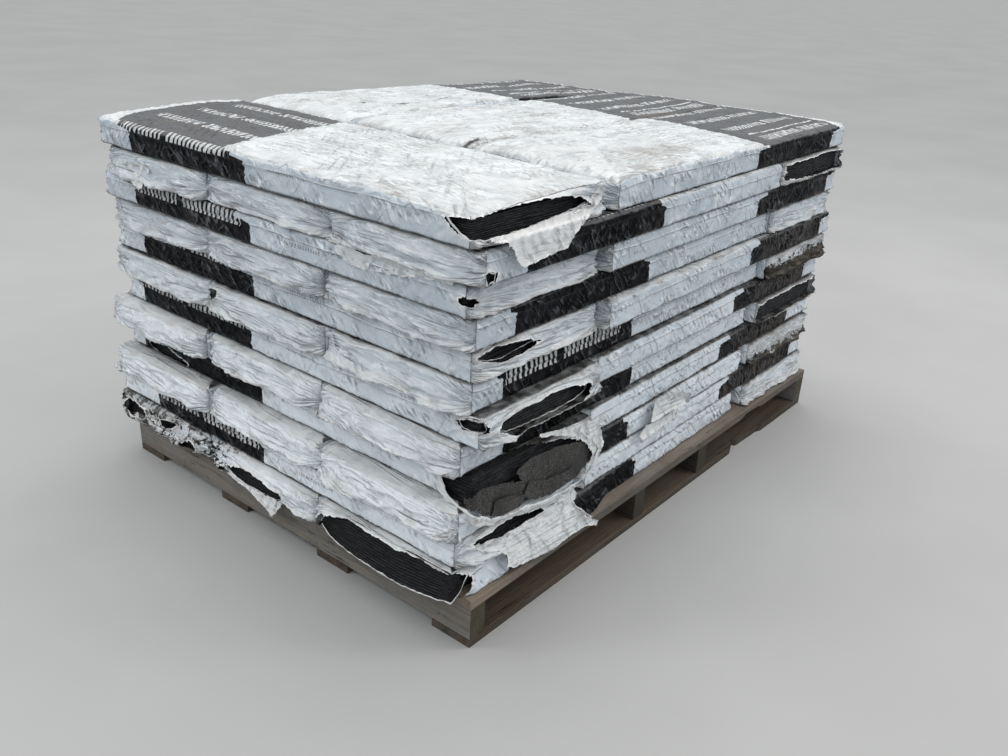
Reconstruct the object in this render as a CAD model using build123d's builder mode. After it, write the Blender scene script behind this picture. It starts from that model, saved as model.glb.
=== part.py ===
"""Pallet load of film-wrapped asphalt shingle bundles.

Twelve layers of four bundles, laid three lengthwise and one crosswise and turned about from
layer to layer, on a low stringer pallet. Each bundle is a block of stacked shingles in its own
plastic film wrapper. Millimetres, +Z up, +X along the long side of the load, origin at the
centre of the underside.
"""

from build123d import *
import os

os.makedirs("parts", exist_ok=True)

# ---------------------------------------------------------------- shingles and wrappers
shingle_len = 1000.0        # metric shingle, long side
shingle_wid = 334.0         # metric shingle, exposed side to head
film_t = 0.4                # wrapper film, modelled slightly thicker than the real 0.1 mm
slack = 0.6                 # air between the shingle edges and the film at the sides
pitch = 54.7                # height of one wrapped bundle under load
layers = 12

bundle_len = shingle_len + 2 * (slack + film_t)     # 1002
bundle_wid = shingle_wid + 2 * (slack + film_t)     # 336
core_t = pitch - 2 * film_t

courses = 11                # shingle edges that show in the height of a bundle
groove_h = 0.9              # gap between two shingle edges
groove_d = 3.0              # how deep that gap is cut
seam_h = 1.0                # slit where the two folds of a closed film end meet
seam_inset = 12.0

# ---------------------------------------------------------------- pallet
pal_len = 1372.0            # 54 in
pal_wid = 1016.0            # 40 in
board_t = 18.0              # deck board
board_w = 95.0
base_t = 16.0               # bottom board
base_w = 89.0
stringer_w = 38.0
stringer_h = 64.0
pal_h = base_t + stringer_h + board_t
stringer_x = (0.0, 520.0, 790.0, pal_len - stringer_w)      # left edges, the middle pair close
deck_count = 7
base_count = 4

# ---------------------------------------------------------------- where each bundle lies
# The load starts this far in from the pallet's left and front edges.
load_x = 11.0
load_y = 27.0
end_gap = 20.0              # chimney between the crosswise and the lengthwise bundles
side_gap = 1.5              # between neighbours side by side

# Per layer, 1 at the top: shift of the bundles at the left end (x, y), shift of those at the
# right end (x, y), and the spread of the three lengthwise bundles.
shifts = {
    1: (-5, 9, 5, -7, 2.0),
    2: (7, -14, 1, -8, 1.5),
    3: (-2, 14, 3, -7, 2.5),
    4: (14, 6, 2, 3, 2.0),
    5: (13, 13, 7, -12, 2.0),
    6: (16, 11, 2, -8, 5.0),
    7: (9, -12, -2, -2, 3.0),
    8: (-2, 15, -5, -5, 4.0),
    9: (8, -5, 0, 5, 2.0),
    10: (-19, 0, 0, 0, 2.0),
    11: (-20, 6, -8, 0, 2.5),
    12: (-30, 1, 4, 0, 5.0),
}
# Small shifts along X of the second and third lengthwise bundle, counted from the front.
stagger = {
    1: (6, -5), 2: (4, -3), 3: (-6, 5), 4: (-5, 4), 5: (5, -4), 6: (-6, -3),
    7: (4, 7), 8: (3, -5), 9: (-4, 4), 10: (5, -4), 11: (6, 2), 12: (3, 6),
}


def layer_z(k):
    """Underside of layer k above the ground."""
    return pal_h + (layers - k) * pitch


def layer_places(k):
    """Four bundles of layer k as (low x, low y, lengthwise). Lengthwise ones come front to back."""
    xa, ya, xb, yb, ys = shifts[k]
    places = []
    if k % 2:       # odd: crosswise bundle at the left end, three lengthwise to its right
        places.append((load_x + xa, load_y + ya, False))
        for i in range(3):
            sx = 0 if i == 0 else stagger[k][i - 1]
            places.append((load_x + xb + bundle_wid + end_gap + sx,
                           load_y + yb + i * (bundle_wid + side_gap + ys / 2), True))
    else:           # even: three lengthwise from the left end, crosswise bundle at the right end
        for i in range(3):
            sx = 0 if i == 0 else stagger[k][i - 1]
            places.append((load_x + xa + sx,
                           load_y + ya + i * (bundle_wid + side_gap + ys / 2), True))
        places.append((load_x + xb + bundle_len + end_gap, load_y + yb, False))
    return places


# Bounds of everything in plan, so that the origin is the centre of the underside.
xs, ys_ = [0.0, pal_len], [0.0, pal_wid]
for k in range(1, layers + 1):
    for x, y, along in layer_places(k):
        xs += [x, x + (bundle_len if along else bundle_wid)]
        ys_ += [y, y + (bundle_wid if along else bundle_len)]
off_x = -(min(xs) + max(xs)) / 2
off_y = -(min(ys_) + max(ys_)) / 2
print("plan", max(xs) - min(xs), "x", max(ys_) - min(ys_), "height", pal_h + layers * pitch)
print("shift to the centre", off_x, off_y)

# Torn film. Each tear is a polygon on one upright face of a bundle: layer, bundle index, side
# of the load ("S" the front long side, "W" the left short side), then points as (distance along
# the face from that bundle's low corner, height above the layer's underside).
tears = [
    (1, 0, "S", [(8, 4), (326, 22), (326, 50), (8, 50)]),
    (2, 3, "S", [(12, 14), (324, 10), (324, 48), (12, 48)]),
    (3, 0, "S", [(0.7, 28), (16, 28), (16, 40), (0.7, 40)]),
    (5, 0, "S", [(8, 30), (170, 16), (170, 40), (8, 44)]),
    (7, 0, "S", [(3, 22), (36, 22), (36, 46), (3, 46)]),
    (7, 0, "S", [(52, 12), (326, 14), (300, 46), (80, 50)]),
    (8, 3, "S", [(8, 6), (326, 6), (326, 50), (8, 50)]),
    (9, 0, "S", [(4, 4), (330, 4), (330, 51), (4, 51)]),
    (3, 1, "S", [(0.7, 16), (20, 16), (14, 46), (0.7, 46)]),
    (12, 0, "W", [(6, 2), (330, 4), (330, 30), (60, 50), (6, 44)]),
    (12, 1, "W", [(96, 6), (280, 10), (270, 30), (130, 38)]),
    (12, 2, "W", [(190, 14), (310, 22), (300, 44), (230, 42)]),
    (10, 0, "W", [(226, 12), (322, 12), (322, 26), (240, 28)]),
    (9, 0, "W", [(790, 8), (930, 10), (900, 26), (800, 22)]),
    (11, 0, "S", [(30, 20), (240, 6), (240, 30), (40, 46)]),
]

# ---------------------------------------------------------------- one block of shingles
# The edge profile: a column of courses with a narrow gap between each two.
course_h = (core_t - (courses - 1) * groove_h) / courses


def comb(width):
    """Closed outline points of the grooved edge profile, centred on 0 in its own plane."""
    right = []
    z = 0.0
    for i in range(courses):
        right += [(width / 2, z), (width / 2, z + course_h)]
        z += course_h
        if i < courses - 1:
            right += [(width / 2 - groove_d, z), (width / 2 - groove_d, z + groove_h)]
            z += groove_h
    left = [(-x, zz) for x, zz in reversed(right)]
    return right + left


with BuildPart() as block:
    # Cross profile, seen along X, pushed along the length.
    with BuildSketch(Plane.YZ.offset(-shingle_len / 2)):
        with BuildLine():
            Polyline(*comb(shingle_wid), close=True)
        make_face()
    extrude(amount=shingle_len)
    # The same edge profile seen along Y trims the two ends.
    with BuildSketch(Plane.XZ.offset(-shingle_wid / 2)):
        with BuildLine():
            Polyline(*comb(shingle_len), close=True)
        make_face()
    extrude(amount=shingle_wid, mode=Mode.INTERSECT)

# ---------------------------------------------------------------- one film wrapper
with BuildPart() as wrapper:
    with BuildSketch(Plane.XY):
        Rectangle(bundle_len, bundle_wid)
    extrude(amount=pitch)
    # The space for the shingles.
    with BuildSketch(Plane.XY.offset(film_t)):
        Rectangle(bundle_len - 2 * film_t, bundle_wid - 2 * film_t)
    extrude(amount=core_t, mode=Mode.SUBTRACT)
    # At both ends the upper and lower fold meet along a slit.
    with BuildSketch(Plane.YZ.offset(-bundle_len / 2 - 1)):
        with Locations((0, pitch / 2)):
            Rectangle(bundle_wid - 2 * seam_inset, seam_h)
    extrude(amount=bundle_len + 2, mode=Mode.SUBTRACT)


def spots(k):
    """Locations of the four bundles of layer k in the finished frame."""
    out = []
    for x, y, along in layer_places(k):
        w, d = (bundle_len, bundle_wid) if along else (bundle_wid, bundle_len)
        out.append(Location((x + w / 2 + off_x, y + d / 2 + off_y, layer_z(k)),
                            (0, 0, 0 if along else 90)))
    return out


total = 0.0
for k in range(1, layers + 1):
    z0 = layer_z(k)
    places = layer_places(k)

    with BuildPart() as shingles:
        for spot in spots(k):
            with Locations(spot * Location((0, 0, film_t))):
                add(block.part)
    shingles.part.label = f"shingles_layer_{k:02d}"
    export_step(shingles.part, f"parts/shingles_layer_{k:02d}.step")
    total += shingles.part.volume

    with BuildPart() as film:
        for spot in spots(k):
            with Locations(spot):
                add(wrapper.part)
        for lk, i, side, pts in tears:
            if lk != k:
                continue
            x, y, along = places[i]
            if side == "S":     # cut through the film of the front face only
                plane = Plane(origin=(x + off_x, y + off_y - 1, z0), x_dir=(1, 0, 0), z_dir=(0, -1, 0))
            else:               # left face, distances counted away from the front
                plane = Plane(origin=(x + off_x - 1, y + off_y, z0), x_dir=(0, 1, 0), z_dir=(1, 0, 0))
            with BuildSketch(plane):
                with BuildLine():
                    Polyline(*pts, close=True)
                make_face()
            reach = 1 + film_t + slack / 2
            extrude(amount=-reach if side == "S" else reach, mode=Mode.SUBTRACT)
    film.part.label = f"film_wrap_layer_{k:02d}"
    export_step(film.part, f"parts/film_wrap_layer_{k:02d}.step")

print("shingle volume m3", total / 1e9, "per bundle litres", total / 48e6)

# ---------------------------------------------------------------- pallet stringers, along Y
for i, sx in enumerate(stringer_x):
    with BuildPart() as stringer:
        with BuildSketch(Plane.XY.offset(base_t)):
            with Locations((sx + stringer_w / 2 + off_x, pal_wid / 2 + off_y)):
                Rectangle(stringer_w, pal_wid)
        extrude(amount=stringer_h)
        # Sawn arrises eased along the length.
        chamfer(stringer.edges().filter_by(Axis.Y), 1.5)
    stringer.part.label = f"stringer_{i + 1}"
    export_step(stringer.part, f"parts/stringer_{i + 1}.step")

# ---------------------------------------------------------------- deck boards, along X
deck_step = (pal_wid - board_w) / (deck_count - 1)
for i in range(deck_count):
    with BuildPart() as deck:
        with BuildSketch(Plane.XY.offset(base_t + stringer_h)):
            with Locations((pal_len / 2 + off_x, board_w / 2 + i * deck_step + off_y)):
                Rectangle(pal_len, board_w)
        extrude(amount=board_t)
        chamfer(deck.edges().filter_by(Axis.X).group_by(Axis.Z)[-1], 1.5)
        if i == 0:
            # The front board has split away along its lower edge beside the right-hand bay.
            with BuildSketch(Plane.XZ.offset(-off_y + 1)):
                with BuildLine():
                    Polyline((990 + off_x, base_t + stringer_h - 1), (1110 + off_x, base_t + stringer_h - 1),
                             (1096 + off_x, base_t + stringer_h + 5), (1030 + off_x, base_t + stringer_h + 8),
                             close=True)
                make_face()
            extrude(amount=-15, mode=Mode.SUBTRACT)
    deck.part.label = f"deck_board_{i + 1}"
    export_step(deck.part, f"parts/deck_board_{i + 1}.step")

# ---------------------------------------------------------------- bottom boards, along X
base_step = (pal_wid - base_w) / (base_count - 1)
for i in range(base_count):
    with BuildPart() as base:
        with BuildSketch(Plane.XY):
            with Locations((pal_len / 2 + off_x, base_w / 2 + i * base_step + off_y)):
                Rectangle(pal_len, base_w)
        extrude(amount=base_t)
        chamfer(base.edges().filter_by(Axis.X).group_by(Axis.Z)[-1], 1.5)
        if i == 0:
            # A piece has broken out of the front board's outer edge in the right-hand bay.
            with BuildSketch(Plane.XY.offset(-1)):
                with BuildLine():
                    Polyline((958 + off_x, off_y - 1), (986 + off_x, off_y + 9), (1004 + off_x, off_y + 22),
                             (1012 + off_x, off_y + 9), (1118 + off_x, off_y + 6), (1140 + off_x, off_y - 1),
                             close=True)
                make_face()
            extrude(amount=base_t + 2, mode=Mode.SUBTRACT)
    base.part.label = f"bottom_board_{i + 1}"
    export_step(base.part, f"parts/bottom_board_{i + 1}.step")
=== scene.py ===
"""Pallet of wrapped asphalt shingle bundles: looks, light and camera."""
import math

import bpy
import numpy as np
from mathutils import Matrix, Vector


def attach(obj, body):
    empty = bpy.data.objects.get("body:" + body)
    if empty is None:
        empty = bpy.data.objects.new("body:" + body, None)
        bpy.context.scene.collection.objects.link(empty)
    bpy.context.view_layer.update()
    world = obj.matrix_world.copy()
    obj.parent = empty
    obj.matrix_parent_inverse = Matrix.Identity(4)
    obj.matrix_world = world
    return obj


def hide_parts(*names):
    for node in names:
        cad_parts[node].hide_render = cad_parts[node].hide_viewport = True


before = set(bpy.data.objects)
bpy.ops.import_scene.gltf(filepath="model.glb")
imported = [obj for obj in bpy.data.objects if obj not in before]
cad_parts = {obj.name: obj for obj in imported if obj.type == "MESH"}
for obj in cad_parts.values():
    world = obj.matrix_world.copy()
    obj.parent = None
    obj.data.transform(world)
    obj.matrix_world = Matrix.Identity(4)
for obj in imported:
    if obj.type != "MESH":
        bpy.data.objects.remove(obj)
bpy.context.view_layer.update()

# ---------------------------------------------------------------- layout (mm)
# Work frame: the pallet's near corner is the origin, X runs along the right
# face, Y along the left face, and OFF moves it to the finished frame.
OFF = np.array([-681.0, -528.5, 0.0])
H = 54.7
LX, LY = 11.0, 27.0
PAL = 98.0
SHIFT = {1: (-5, 9, 5, -7, 2.0), 2: (7, -14, 1, -8, 1.5), 3: (-2, 14, 3, -7, 2.5), 4: (14, 6, 2, 3, 2.0),
         5: (13, 13, 7, -12, 2.0), 6: (16, 11, 2, -8, 5.0), 7: (9, -12, -2, -2, 3.0), 8: (-2, 15, -5, -5, 4.0),
         9: (8, -5, 0, 5, 2.0), 10: (-19, 0, 0, 0, 2.0), 11: (-20, 6, -8, 0, 2.5), 12: (-30, 1, 4, 0, 5.0)}
STAG = {1: (6, -5), 2: (4, -3), 3: (-6, 5), 4: (-5, 4), 5: (5, -4), 6: (-6, -3), 7: (4, 7), 8: (3, -5),
        9: (-4, 4), 10: (5, -4), 11: (6, 2), 12: (3, 6)}


def layer_z(k):
    return PAL + (12 - k) * H


def crown(x, y):
    """How far the load's top stands above or below level, in mm."""
    x, y = np.asarray(x) / 1000, np.asarray(y) / 1000
    return (-1.4 + 31.1 * x + 11.2 * y - 54.2 * x * x + 30.8 * x * y - 24.1 * y * y
            + 22.7 * x ** 3 - 21.9 * x * x * y - 10.2 * x * y * y + 14.3 * y ** 3)


def places(k):
    """(low x, low y, lengthwise) of the four bundles of layer k."""
    xa, ya, xb, yb, ys = SHIFT[k]
    out = []
    if k % 2:
        out.append((LX + xa, LY + ya, False))
        for i in range(3):
            sx = 0 if i == 0 else STAG[k][i - 1]
            out.append((LX + xb + 356 + sx, LY + yb + i * (337.5 + ys / 2), True))
    else:
        for i in range(3):
            sx = 0 if i == 0 else STAG[k][i - 1]
            out.append((LX + xa + sx, LY + ya + i * (337.5 + ys / 2), True))
        out.append((LX + xb + 1022, LY + yb, False))
    return out


# ---------------------------------------------------------------- noise
_G = np.array([[math.cos(a), math.sin(a)] for a in np.linspace(0, 2 * math.pi, 33)[:-1]])


def _hash(ix, iy, seed):
    h = (ix.astype(np.int64) * 374761393 + iy.astype(np.int64) * 668265263 + int(seed) * 2147483647 // 7919) & 0xFFFFFFFF
    h = ((h ^ (h >> 13)) * 1274126177) & 0xFFFFFFFF
    h = ((h ^ (h >> 16)) * 2246822519) & 0xFFFFFFFF
    return (h ^ (h >> 15)) & 31


def gn(x, y, seed=0):
    """Gradient noise, about -1 to 1."""
    x, y = np.broadcast_arrays(np.asarray(x, float), np.asarray(y, float))
    ix, iy = np.floor(x), np.floor(y)
    fx, fy = x - ix, y - iy
    ix, iy = ix.astype(np.int64), iy.astype(np.int64)
    u, v = fx * fx * fx * (fx * (fx * 6 - 15) + 10), fy * fy * fy * (fy * (fy * 6 - 15) + 10)
    out = []
    for dy in (0, 1):
        for dx in (0, 1):
            g = _G[_hash(ix + dx, iy + dy, seed)]
            out.append(g[..., 0] * (fx - dx) + g[..., 1] * (fy - dy))
    a = out[0] + (out[1] - out[0]) * u
    b = out[2] + (out[3] - out[2]) * u
    return (a + (b - a) * v) * 1.45


def smooth(x, a, b):
    t = np.clip((x - a) / (b - a), 0, 1)
    return t * t * (3 - 2 * t)


def ridge(n, w):
    return np.exp(-(n / w) ** 2)


def poly_sd(px, py, poly):
    """Signed distance to a polygon, negative inside."""
    P = np.asarray(poly, float)
    d = np.full(px.shape, 1e9)
    inside = np.zeros(px.shape, bool)
    for a, b in zip(P, np.roll(P, -1, axis=0)):
        e = b - a
        L = max((e * e).sum(), 1e-9)
        t = np.clip(((px - a[0]) * e[0] + (py - a[1]) * e[1]) / L, 0, 1)
        dx, dy = px - (a[0] + t * e[0]), py - (a[1] + t * e[1])
        d = np.minimum(d, np.hypot(dx, dy))
        c = (a[1] > py) != (b[1] > py)
        with np.errstate(divide="ignore", invalid="ignore"):
            xi = a[0] + (py - a[1]) * e[0] / (e[1] if e[1] else 1e-9)
        inside ^= c & (px < xi)
    return np.where(inside, -d, d)


# ---------------------------------------------------------------- mesh helpers
class Bag:
    """Collects vertices, quads and per-vertex vectors of one object."""

    def __init__(self):
        self.V, self.Q, self.A, self.B, self.C, self.D, self.E, self.M, self.n = [], [], [], [], [], [], [], [], 0

    def add(self, V, Q, lab=None, st=None, msk=None, aux=None, mat=0, fin=None):
        V = np.asarray(V, float).reshape(-1, 3)
        Q = np.asarray(Q, np.int64).reshape(-1, 4)
        used = np.zeros(len(V), bool)
        used[Q.ravel()] = True
        remap = np.cumsum(used) - 1
        pick = lambda a: (np.zeros((len(V), 3)) if a is None else np.asarray(a, float))[used]
        self.V.append(V[used])
        self.Q.append(remap[Q] + self.n)
        self.A.append(pick(lab))
        self.B.append(pick(st))
        self.C.append(pick(msk))
        self.D.append(pick(aux))
        self.E.append(pick(np.full((len(V), 3), 90.0) if fin is None else fin))
        self.M.append(np.full(len(Q), mat))
        self.n += int(used.sum())

    def build(self, name, mats, smooth_shade=True):
        V, Q = np.concatenate(self.V), np.concatenate(self.Q)
        mi = np.concatenate(self.M).astype(np.int32)
        me = bpy.data.meshes.new(name)
        me.vertices.add(len(V))
        me.vertices.foreach_set("co", (((V + OFF) / 1000).astype(np.float32)).ravel())
        me.loops.add(Q.size)
        me.loops.foreach_set("vertex_index", Q.astype(np.int32).ravel())
        me.polygons.add(len(Q))
        me.polygons.foreach_set("loop_start", (np.arange(len(Q)) * 4).astype(np.int32))
        me.polygons.foreach_set("material_index", mi)
        me.polygons.foreach_set("use_smooth", np.full(len(Q), smooth_shade))
        for nm, arr in (("lab", self.A), ("st", self.B), ("msk", self.C), ("aux", self.D), ("fin", self.E)):
            at = me.attributes.new(nm, "FLOAT_VECTOR", "POINT")
            at.data.foreach_set("vector", np.concatenate(arr).astype(np.float32).ravel())
        me.update(calc_edges=True)
        me.validate()
        ob = bpy.data.objects.new(name, me)
        bpy.context.scene.collection.objects.link(ob)
        for m in mats:
            me.materials.append(m)
        return ob


def grid_quads(n, m, flip=False):
    """Quads of an n by m vertex grid (row-major, n rows)."""
    a = (np.arange(n - 1)[:, None] * m + np.arange(m - 1)[None, :]).ravel()
    q = np.stack([a, a + 1, a + m + 1, a + m], 1)
    return q[:, ::-1] if flip else q


# ---------------------------------------------------------------- node helpers
class Nodes:
    def __init__(self, name):
        self.mat = bpy.data.materials.new(name)
        self.mat.use_nodes = True
        self.t = self.mat.node_tree
        self.t.nodes.clear()
        self.out = self.t.nodes.new("ShaderNodeOutputMaterial")
        self.bsdf = self.t.nodes.new("ShaderNodeBsdfPrincipled")
        self.t.links.new(self.bsdf.outputs[0], self.out.inputs[0])

    def new(self, kind, **kw):
        n = self.t.nodes.new(kind)
        for k, v in kw.items():
            setattr(n, k, v)
        return n

    def link(self, a, b):
        self.t.links.new(a, b)

    def _in(self, sock, v):
        if v is None:
            return
        if hasattr(v, "links"):
            self.link(v, sock)
        else:
            sock.default_value = v

    def math(self, op, a, b=None, c=None, clamp=False):
        n = self.new("ShaderNodeMath", operation=op, use_clamp=clamp)
        self._in(n.inputs[0], a)
        self._in(n.inputs[1], b)
        self._in(n.inputs[2], c)
        return n.outputs[0]

    def add(self, a, b):
        return self.math("ADD", a, b)

    def sub(self, a, b):
        return self.math("SUBTRACT", a, b)

    def mul(self, a, b, clamp=False):
        return self.math("MULTIPLY", a, b, clamp=clamp)

    def maxi(self, a, b):
        return self.math("MAXIMUM", a, b)

    def mini(self, a, b):
        return self.math("MINIMUM", a, b)

    def step(self, x, lo, hi):
        """0 below lo, 1 above hi, smooth between."""
        n = self.new("ShaderNodeMapRange", interpolation_type="SMOOTHSTEP")
        self._in(n.inputs["Value"], x)
        n.inputs["From Min"].default_value = lo
        n.inputs["From Max"].default_value = hi
        return n.outputs[0]

    def lin(self, x, a, b, c, d, clamp=True):
        n = self.new("ShaderNodeMapRange", clamp=clamp)
        self._in(n.inputs["Value"], x)
        for s, v in zip(("From Min", "From Max", "To Min", "To Max"), (a, b, c, d)):
            n.inputs[s].default_value = v
        return n.outputs[0]

    def vec(self, x=0.0, y=0.0, z=0.0):
        n = self.new("ShaderNodeCombineXYZ")
        for s, v in zip(n.inputs, (x, y, z)):
            self._in(s, v)
        return n.outputs[0]

    def split(self, v):
        n = self.new("ShaderNodeSeparateXYZ")
        self.link(v, n.inputs[0])
        return n.outputs

    def attr(self, name):
        return self.split(self.new("ShaderNodeAttribute", attribute_name=name).outputs["Vector"])

    def scaled(self, v, sx, sy, sz, off=(0, 0, 0), rot=(0, 0, 0)):
        n = self.new("ShaderNodeMapping")
        self.link(v, n.inputs["Vector"])
        n.inputs["Scale"].default_value = (sx, sy, sz)
        n.inputs["Location"].default_value = off
        n.inputs["Rotation"].default_value = rot
        return n.outputs[0]

    def noise(self, v, scale=1.0, detail=2.0, rough=0.5, distort=0.0, color=False):
        n = self.new("ShaderNodeTexNoise")
        self.link(v, n.inputs["Vector"])
        n.inputs["Scale"].default_value = scale
        n.inputs["Detail"].default_value = detail
        n.inputs["Roughness"].default_value = rough
        n.inputs["Distortion"].default_value = distort
        return n.outputs["Color" if color else 0]

    def voronoi(self, v, scale=1.0, feature="F1", out="Distance", rand=1.0):
        n = self.new("ShaderNodeTexVoronoi", feature=feature)
        self.link(v, n.inputs["Vector"])
        n.inputs["Scale"].default_value = scale
        n.inputs["Randomness"].default_value = rand
        return n.outputs[out]

    def ridge(self, x, w):
        """Sharp line where a noise value crosses 0.5."""
        d = self.math("ABSOLUTE", self.sub(x, 0.5))
        return self.lin(d, 0.0, w, 1.0, 0.0)

    def mix(self, f, a, b):
        n = self.new("ShaderNodeMix", data_type="RGBA")
        self._in(n.inputs[0], f)
        for s, v in ((n.inputs[6], a), (n.inputs[7], b)):
            if hasattr(v, "links"):
                self.link(v, s)
            else:
                s.default_value = (*v, 1.0) if len(v) == 3 else v
        return n.outputs[2]

    def bump(self, height, dist, strength=1.0, normal=None):
        n = self.new("ShaderNodeBump")
        self.link(height, n.inputs["Height"])
        n.inputs["Distance"].default_value = dist
        n.inputs["Strength"].default_value = strength
        if normal is not None:
            self.link(normal, n.inputs["Normal"])
        return n.outputs[0]

    def obj(self):
        return self.new("ShaderNodeTexCoord").outputs["Object"]

    def set(self, **kw):
        for k, v in kw.items():
            self._in(self.bsdf.inputs[k.replace("_", " ")], v)


# ---------------------------------------------------------------- materials
def film_material():
    m = Nodes("wrap_film")
    ob = m.obj()
    lab, st, msk = m.attr("lab"), m.attr("st"), m.attr("msk")
    bx, rx, v = lab[0], lab[1], lab[2]
    s, g, rid = st[0], st[1], st[2]
    dirt_and_shade, smear, scuff = msk[0], msk[1], msk[2]
    aux = m.attr("aux")
    crev, cav, isend = aux[0], aux[1], aux[2]
    fin = m.attr("fin")
    seam, torn = fin[0], fin[1]
    up = m.split(m.new("ShaderNodeNewGeometry").outputs["Normal"])[2]
    top = m.step(up, 0.35, 0.9)

    # printed band, its rows of plain bars and the thin rule
    edge_n = m.noise(ob, 160.0, 1.0)
    band = m.step(m.add(bx, m.lin(edge_n, 0.2, 0.8, -1.2, 1.2, False)), -0.5, 0.5)
    ry = m.sub(m.math("MODULO", m.add(v, 46.0 + 920.0), 92.0), 46.0)
    half = m.math("ABSOLUTE", ry)
    inrow = m.step(half, 14.5, 13.0)
    n16 = m.math("FLOOR", m.math("DIVIDE", rx, 13.6))
    wordgap = m.math("COMPARE", n16, 11.0, 0.5)
    ph = m.math("FRACT", m.math("DIVIDE", rx, 13.6))
    odd = m.math("FRACT", m.mul(m.math("SINE", m.mul(m.add(n16, m.math("FLOOR", m.math("DIVIDE", m.add(v, 966.0), 92.0))), 12.9898)), 43758.5))
    wid = m.lin(odd, 0.0, 1.0, 0.19, 0.33)
    bar = m.step(m.sub(m.math("ABSOLUTE", m.sub(ph, 0.5)), wid), 0.02, -0.03)
    inlen = m.mul(m.step(rx, 8.0, 9.0), m.step(rx, 347.0, 346.0))
    bars = m.mul(m.mul(m.mul(bar, inrow), inlen), m.sub(1.0, wordgap))
    rule = m.mul(m.step(m.math("ABSOLUTE", m.sub(v, 334.0)), 3.6, 2.8), inlen)
    printed = m.mul(m.maxi(bars, rule), band)
    # small dark dashes on the white part
    tiny = m.mul(m.mul(m.step(rx, 470.0, 471.0), m.step(rx, 566.0, 565.0)),
                 m.mul(m.step(m.math("ABSOLUTE", m.add(v, 16.0)), 3.6, 3.0), m.step(m.math("FRACT", m.math("DIVIDE", rx, 7.0)), 0.62, 0.55)))
    tiny = m.mul(tiny, m.step(m.noise(m.vec(m.mul(rx, 0.11), m.mul(v, 0.9), rid), 1.0, 1.0), 0.36, 0.44))

    # faint small rows beside the band on top of the crosswise bundle
    faint = m.mul(m.mul(m.step(rx, 372.0, 374.0), m.step(rx, 610.0, 604.0)), m.mul(m.step(v, 36.0, 37.0), m.step(v, 318.0, 317.0)))
    frow = m.step(m.math("ABSOLUTE", m.sub(m.math("MODULO", m.add(v, 920.0), 17.5), 8.0)), 1.7, 1.1)
    fdash = m.step(m.noise(m.vec(m.mul(rx, 0.10), m.math("FLOOR", m.math("DIVIDE", m.add(v, 920.0), 17.5)), 3.0), 1.0, 2.0, 0.7), 0.44, 0.50)
    faint = m.mul(m.mul(faint, m.mul(frow, fdash)), top)

    # colours
    big = m.noise(ob, 9.0, 2.0, 0.6)
    mid = m.noise(ob, 46.0, 1.0, 0.6)
    # the walls take a bluer white than the top: painted cool sky shade on the sides; the top's greyer white is partly
    # dust
    w_side = m.mix(m.step(big, 0.35, 0.7), (0.470, 0.532, 0.592), (0.585, 0.648, 0.704))
    # painted light: walls low on the stack are lightened towards a pale blue, west-facing walls most
    geo = m.new("ShaderNodeNewGeometry")
    low_z = m.step(m.split(geo.outputs["Position"])[2], 0.60, 0.20)
    facing_w = m.step(m.split(geo.outputs["Normal"])[0], -0.3, -0.8)
    w_side = m.mix(m.mul(low_z, m.lin(facing_w, 0.0, 1.0, 0.46, 0.95)), w_side, (0.88, 0.94, 0.99))
    w_top = m.mix(m.step(m.noise(ob, 14.0, 3.0, 0.65), 0.35, 0.72), (0.665, 0.69, 0.70), (0.53, 0.55, 0.55))
    white = m.mix(top, w_side, w_top)
    # crumpled facets: long and leaning on the taut walls, lying on the slack
    # ends, even on the top
    wob = m.mul(m.sub(m.noise(m.vec(m.mul(s, 0.022), m.mul(g, 0.045), rid), 1.0, 1.0), 0.5), 1.5)
    f_side = m.vec(m.add(m.add(m.mul(s, 0.036), m.mul(g, 0.034)), wob), m.add(m.sub(m.mul(g, 0.026), m.mul(s, 0.008)), wob), m.mul(rid, 61.0))
    f_end = m.vec(m.add(m.mul(s, 0.017), wob), m.add(m.add(m.mul(g, 0.125), m.mul(s, 0.006)), wob), m.mul(rid, 67.0))
    f_top = m.vec(m.add(m.add(m.mul(s, 0.030), m.mul(g, 0.020)), wob), m.add(m.sub(m.mul(g, 0.050), m.mul(s, 0.012)), wob), m.mul(rid, 61.0))
    fvec = m.mix(top, m.mix(m.step(isend, 0.3, 0.7), f_side, f_end), f_top)
    vor = m.new("ShaderNodeTexVoronoi", feature="F1")
    m.link(fvec, vor.inputs["Vector"])
    vor.inputs["Scale"].default_value = 1.0
    fac_d, fac_c = vor.outputs["Distance"], m.split(vor.outputs["Color"])[0]
    fmask = m.lin(m.step(m.noise(m.vec(m.mul(s, 0.011), m.mul(g, 0.024), m.mul(rid, 17.0)), 1.0, 2.0), 0.40, 0.60), 0.0, 1.0, 0.25, 1.0)
    # painted light and shade: facets of the crumple are lightened or darkened as if they faced the light at different
    # angles
    white = m.mix(m.mul(m.mul(m.step(fac_c, 0.55, 1.0), fmask), m.lin(top, 0.0, 1.0, 0.24, 0.34)), white, (0.92, 0.95, 0.97))
    white = m.mix(m.mul(m.mul(m.step(fac_c, 0.45, 0.0), fmask), m.lin(top, 0.0, 1.0, 0.22, 0.40)), white, (0.24, 0.27, 0.30))
    white = m.mix(m.mul(scuff, 0.85, True), white, (0.80, 0.80, 0.785))
    white = m.mix(m.mul(tiny, 0.75), white, (0.08, 0.08, 0.085))
    white = m.mix(m.mul(faint, 0.62), white, (0.17, 0.17, 0.175))
    blk = m.mix(m.step(mid, 0.3, 0.7), (0.0026, 0.0029, 0.0038), (0.0060, 0.0066, 0.0080))
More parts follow.
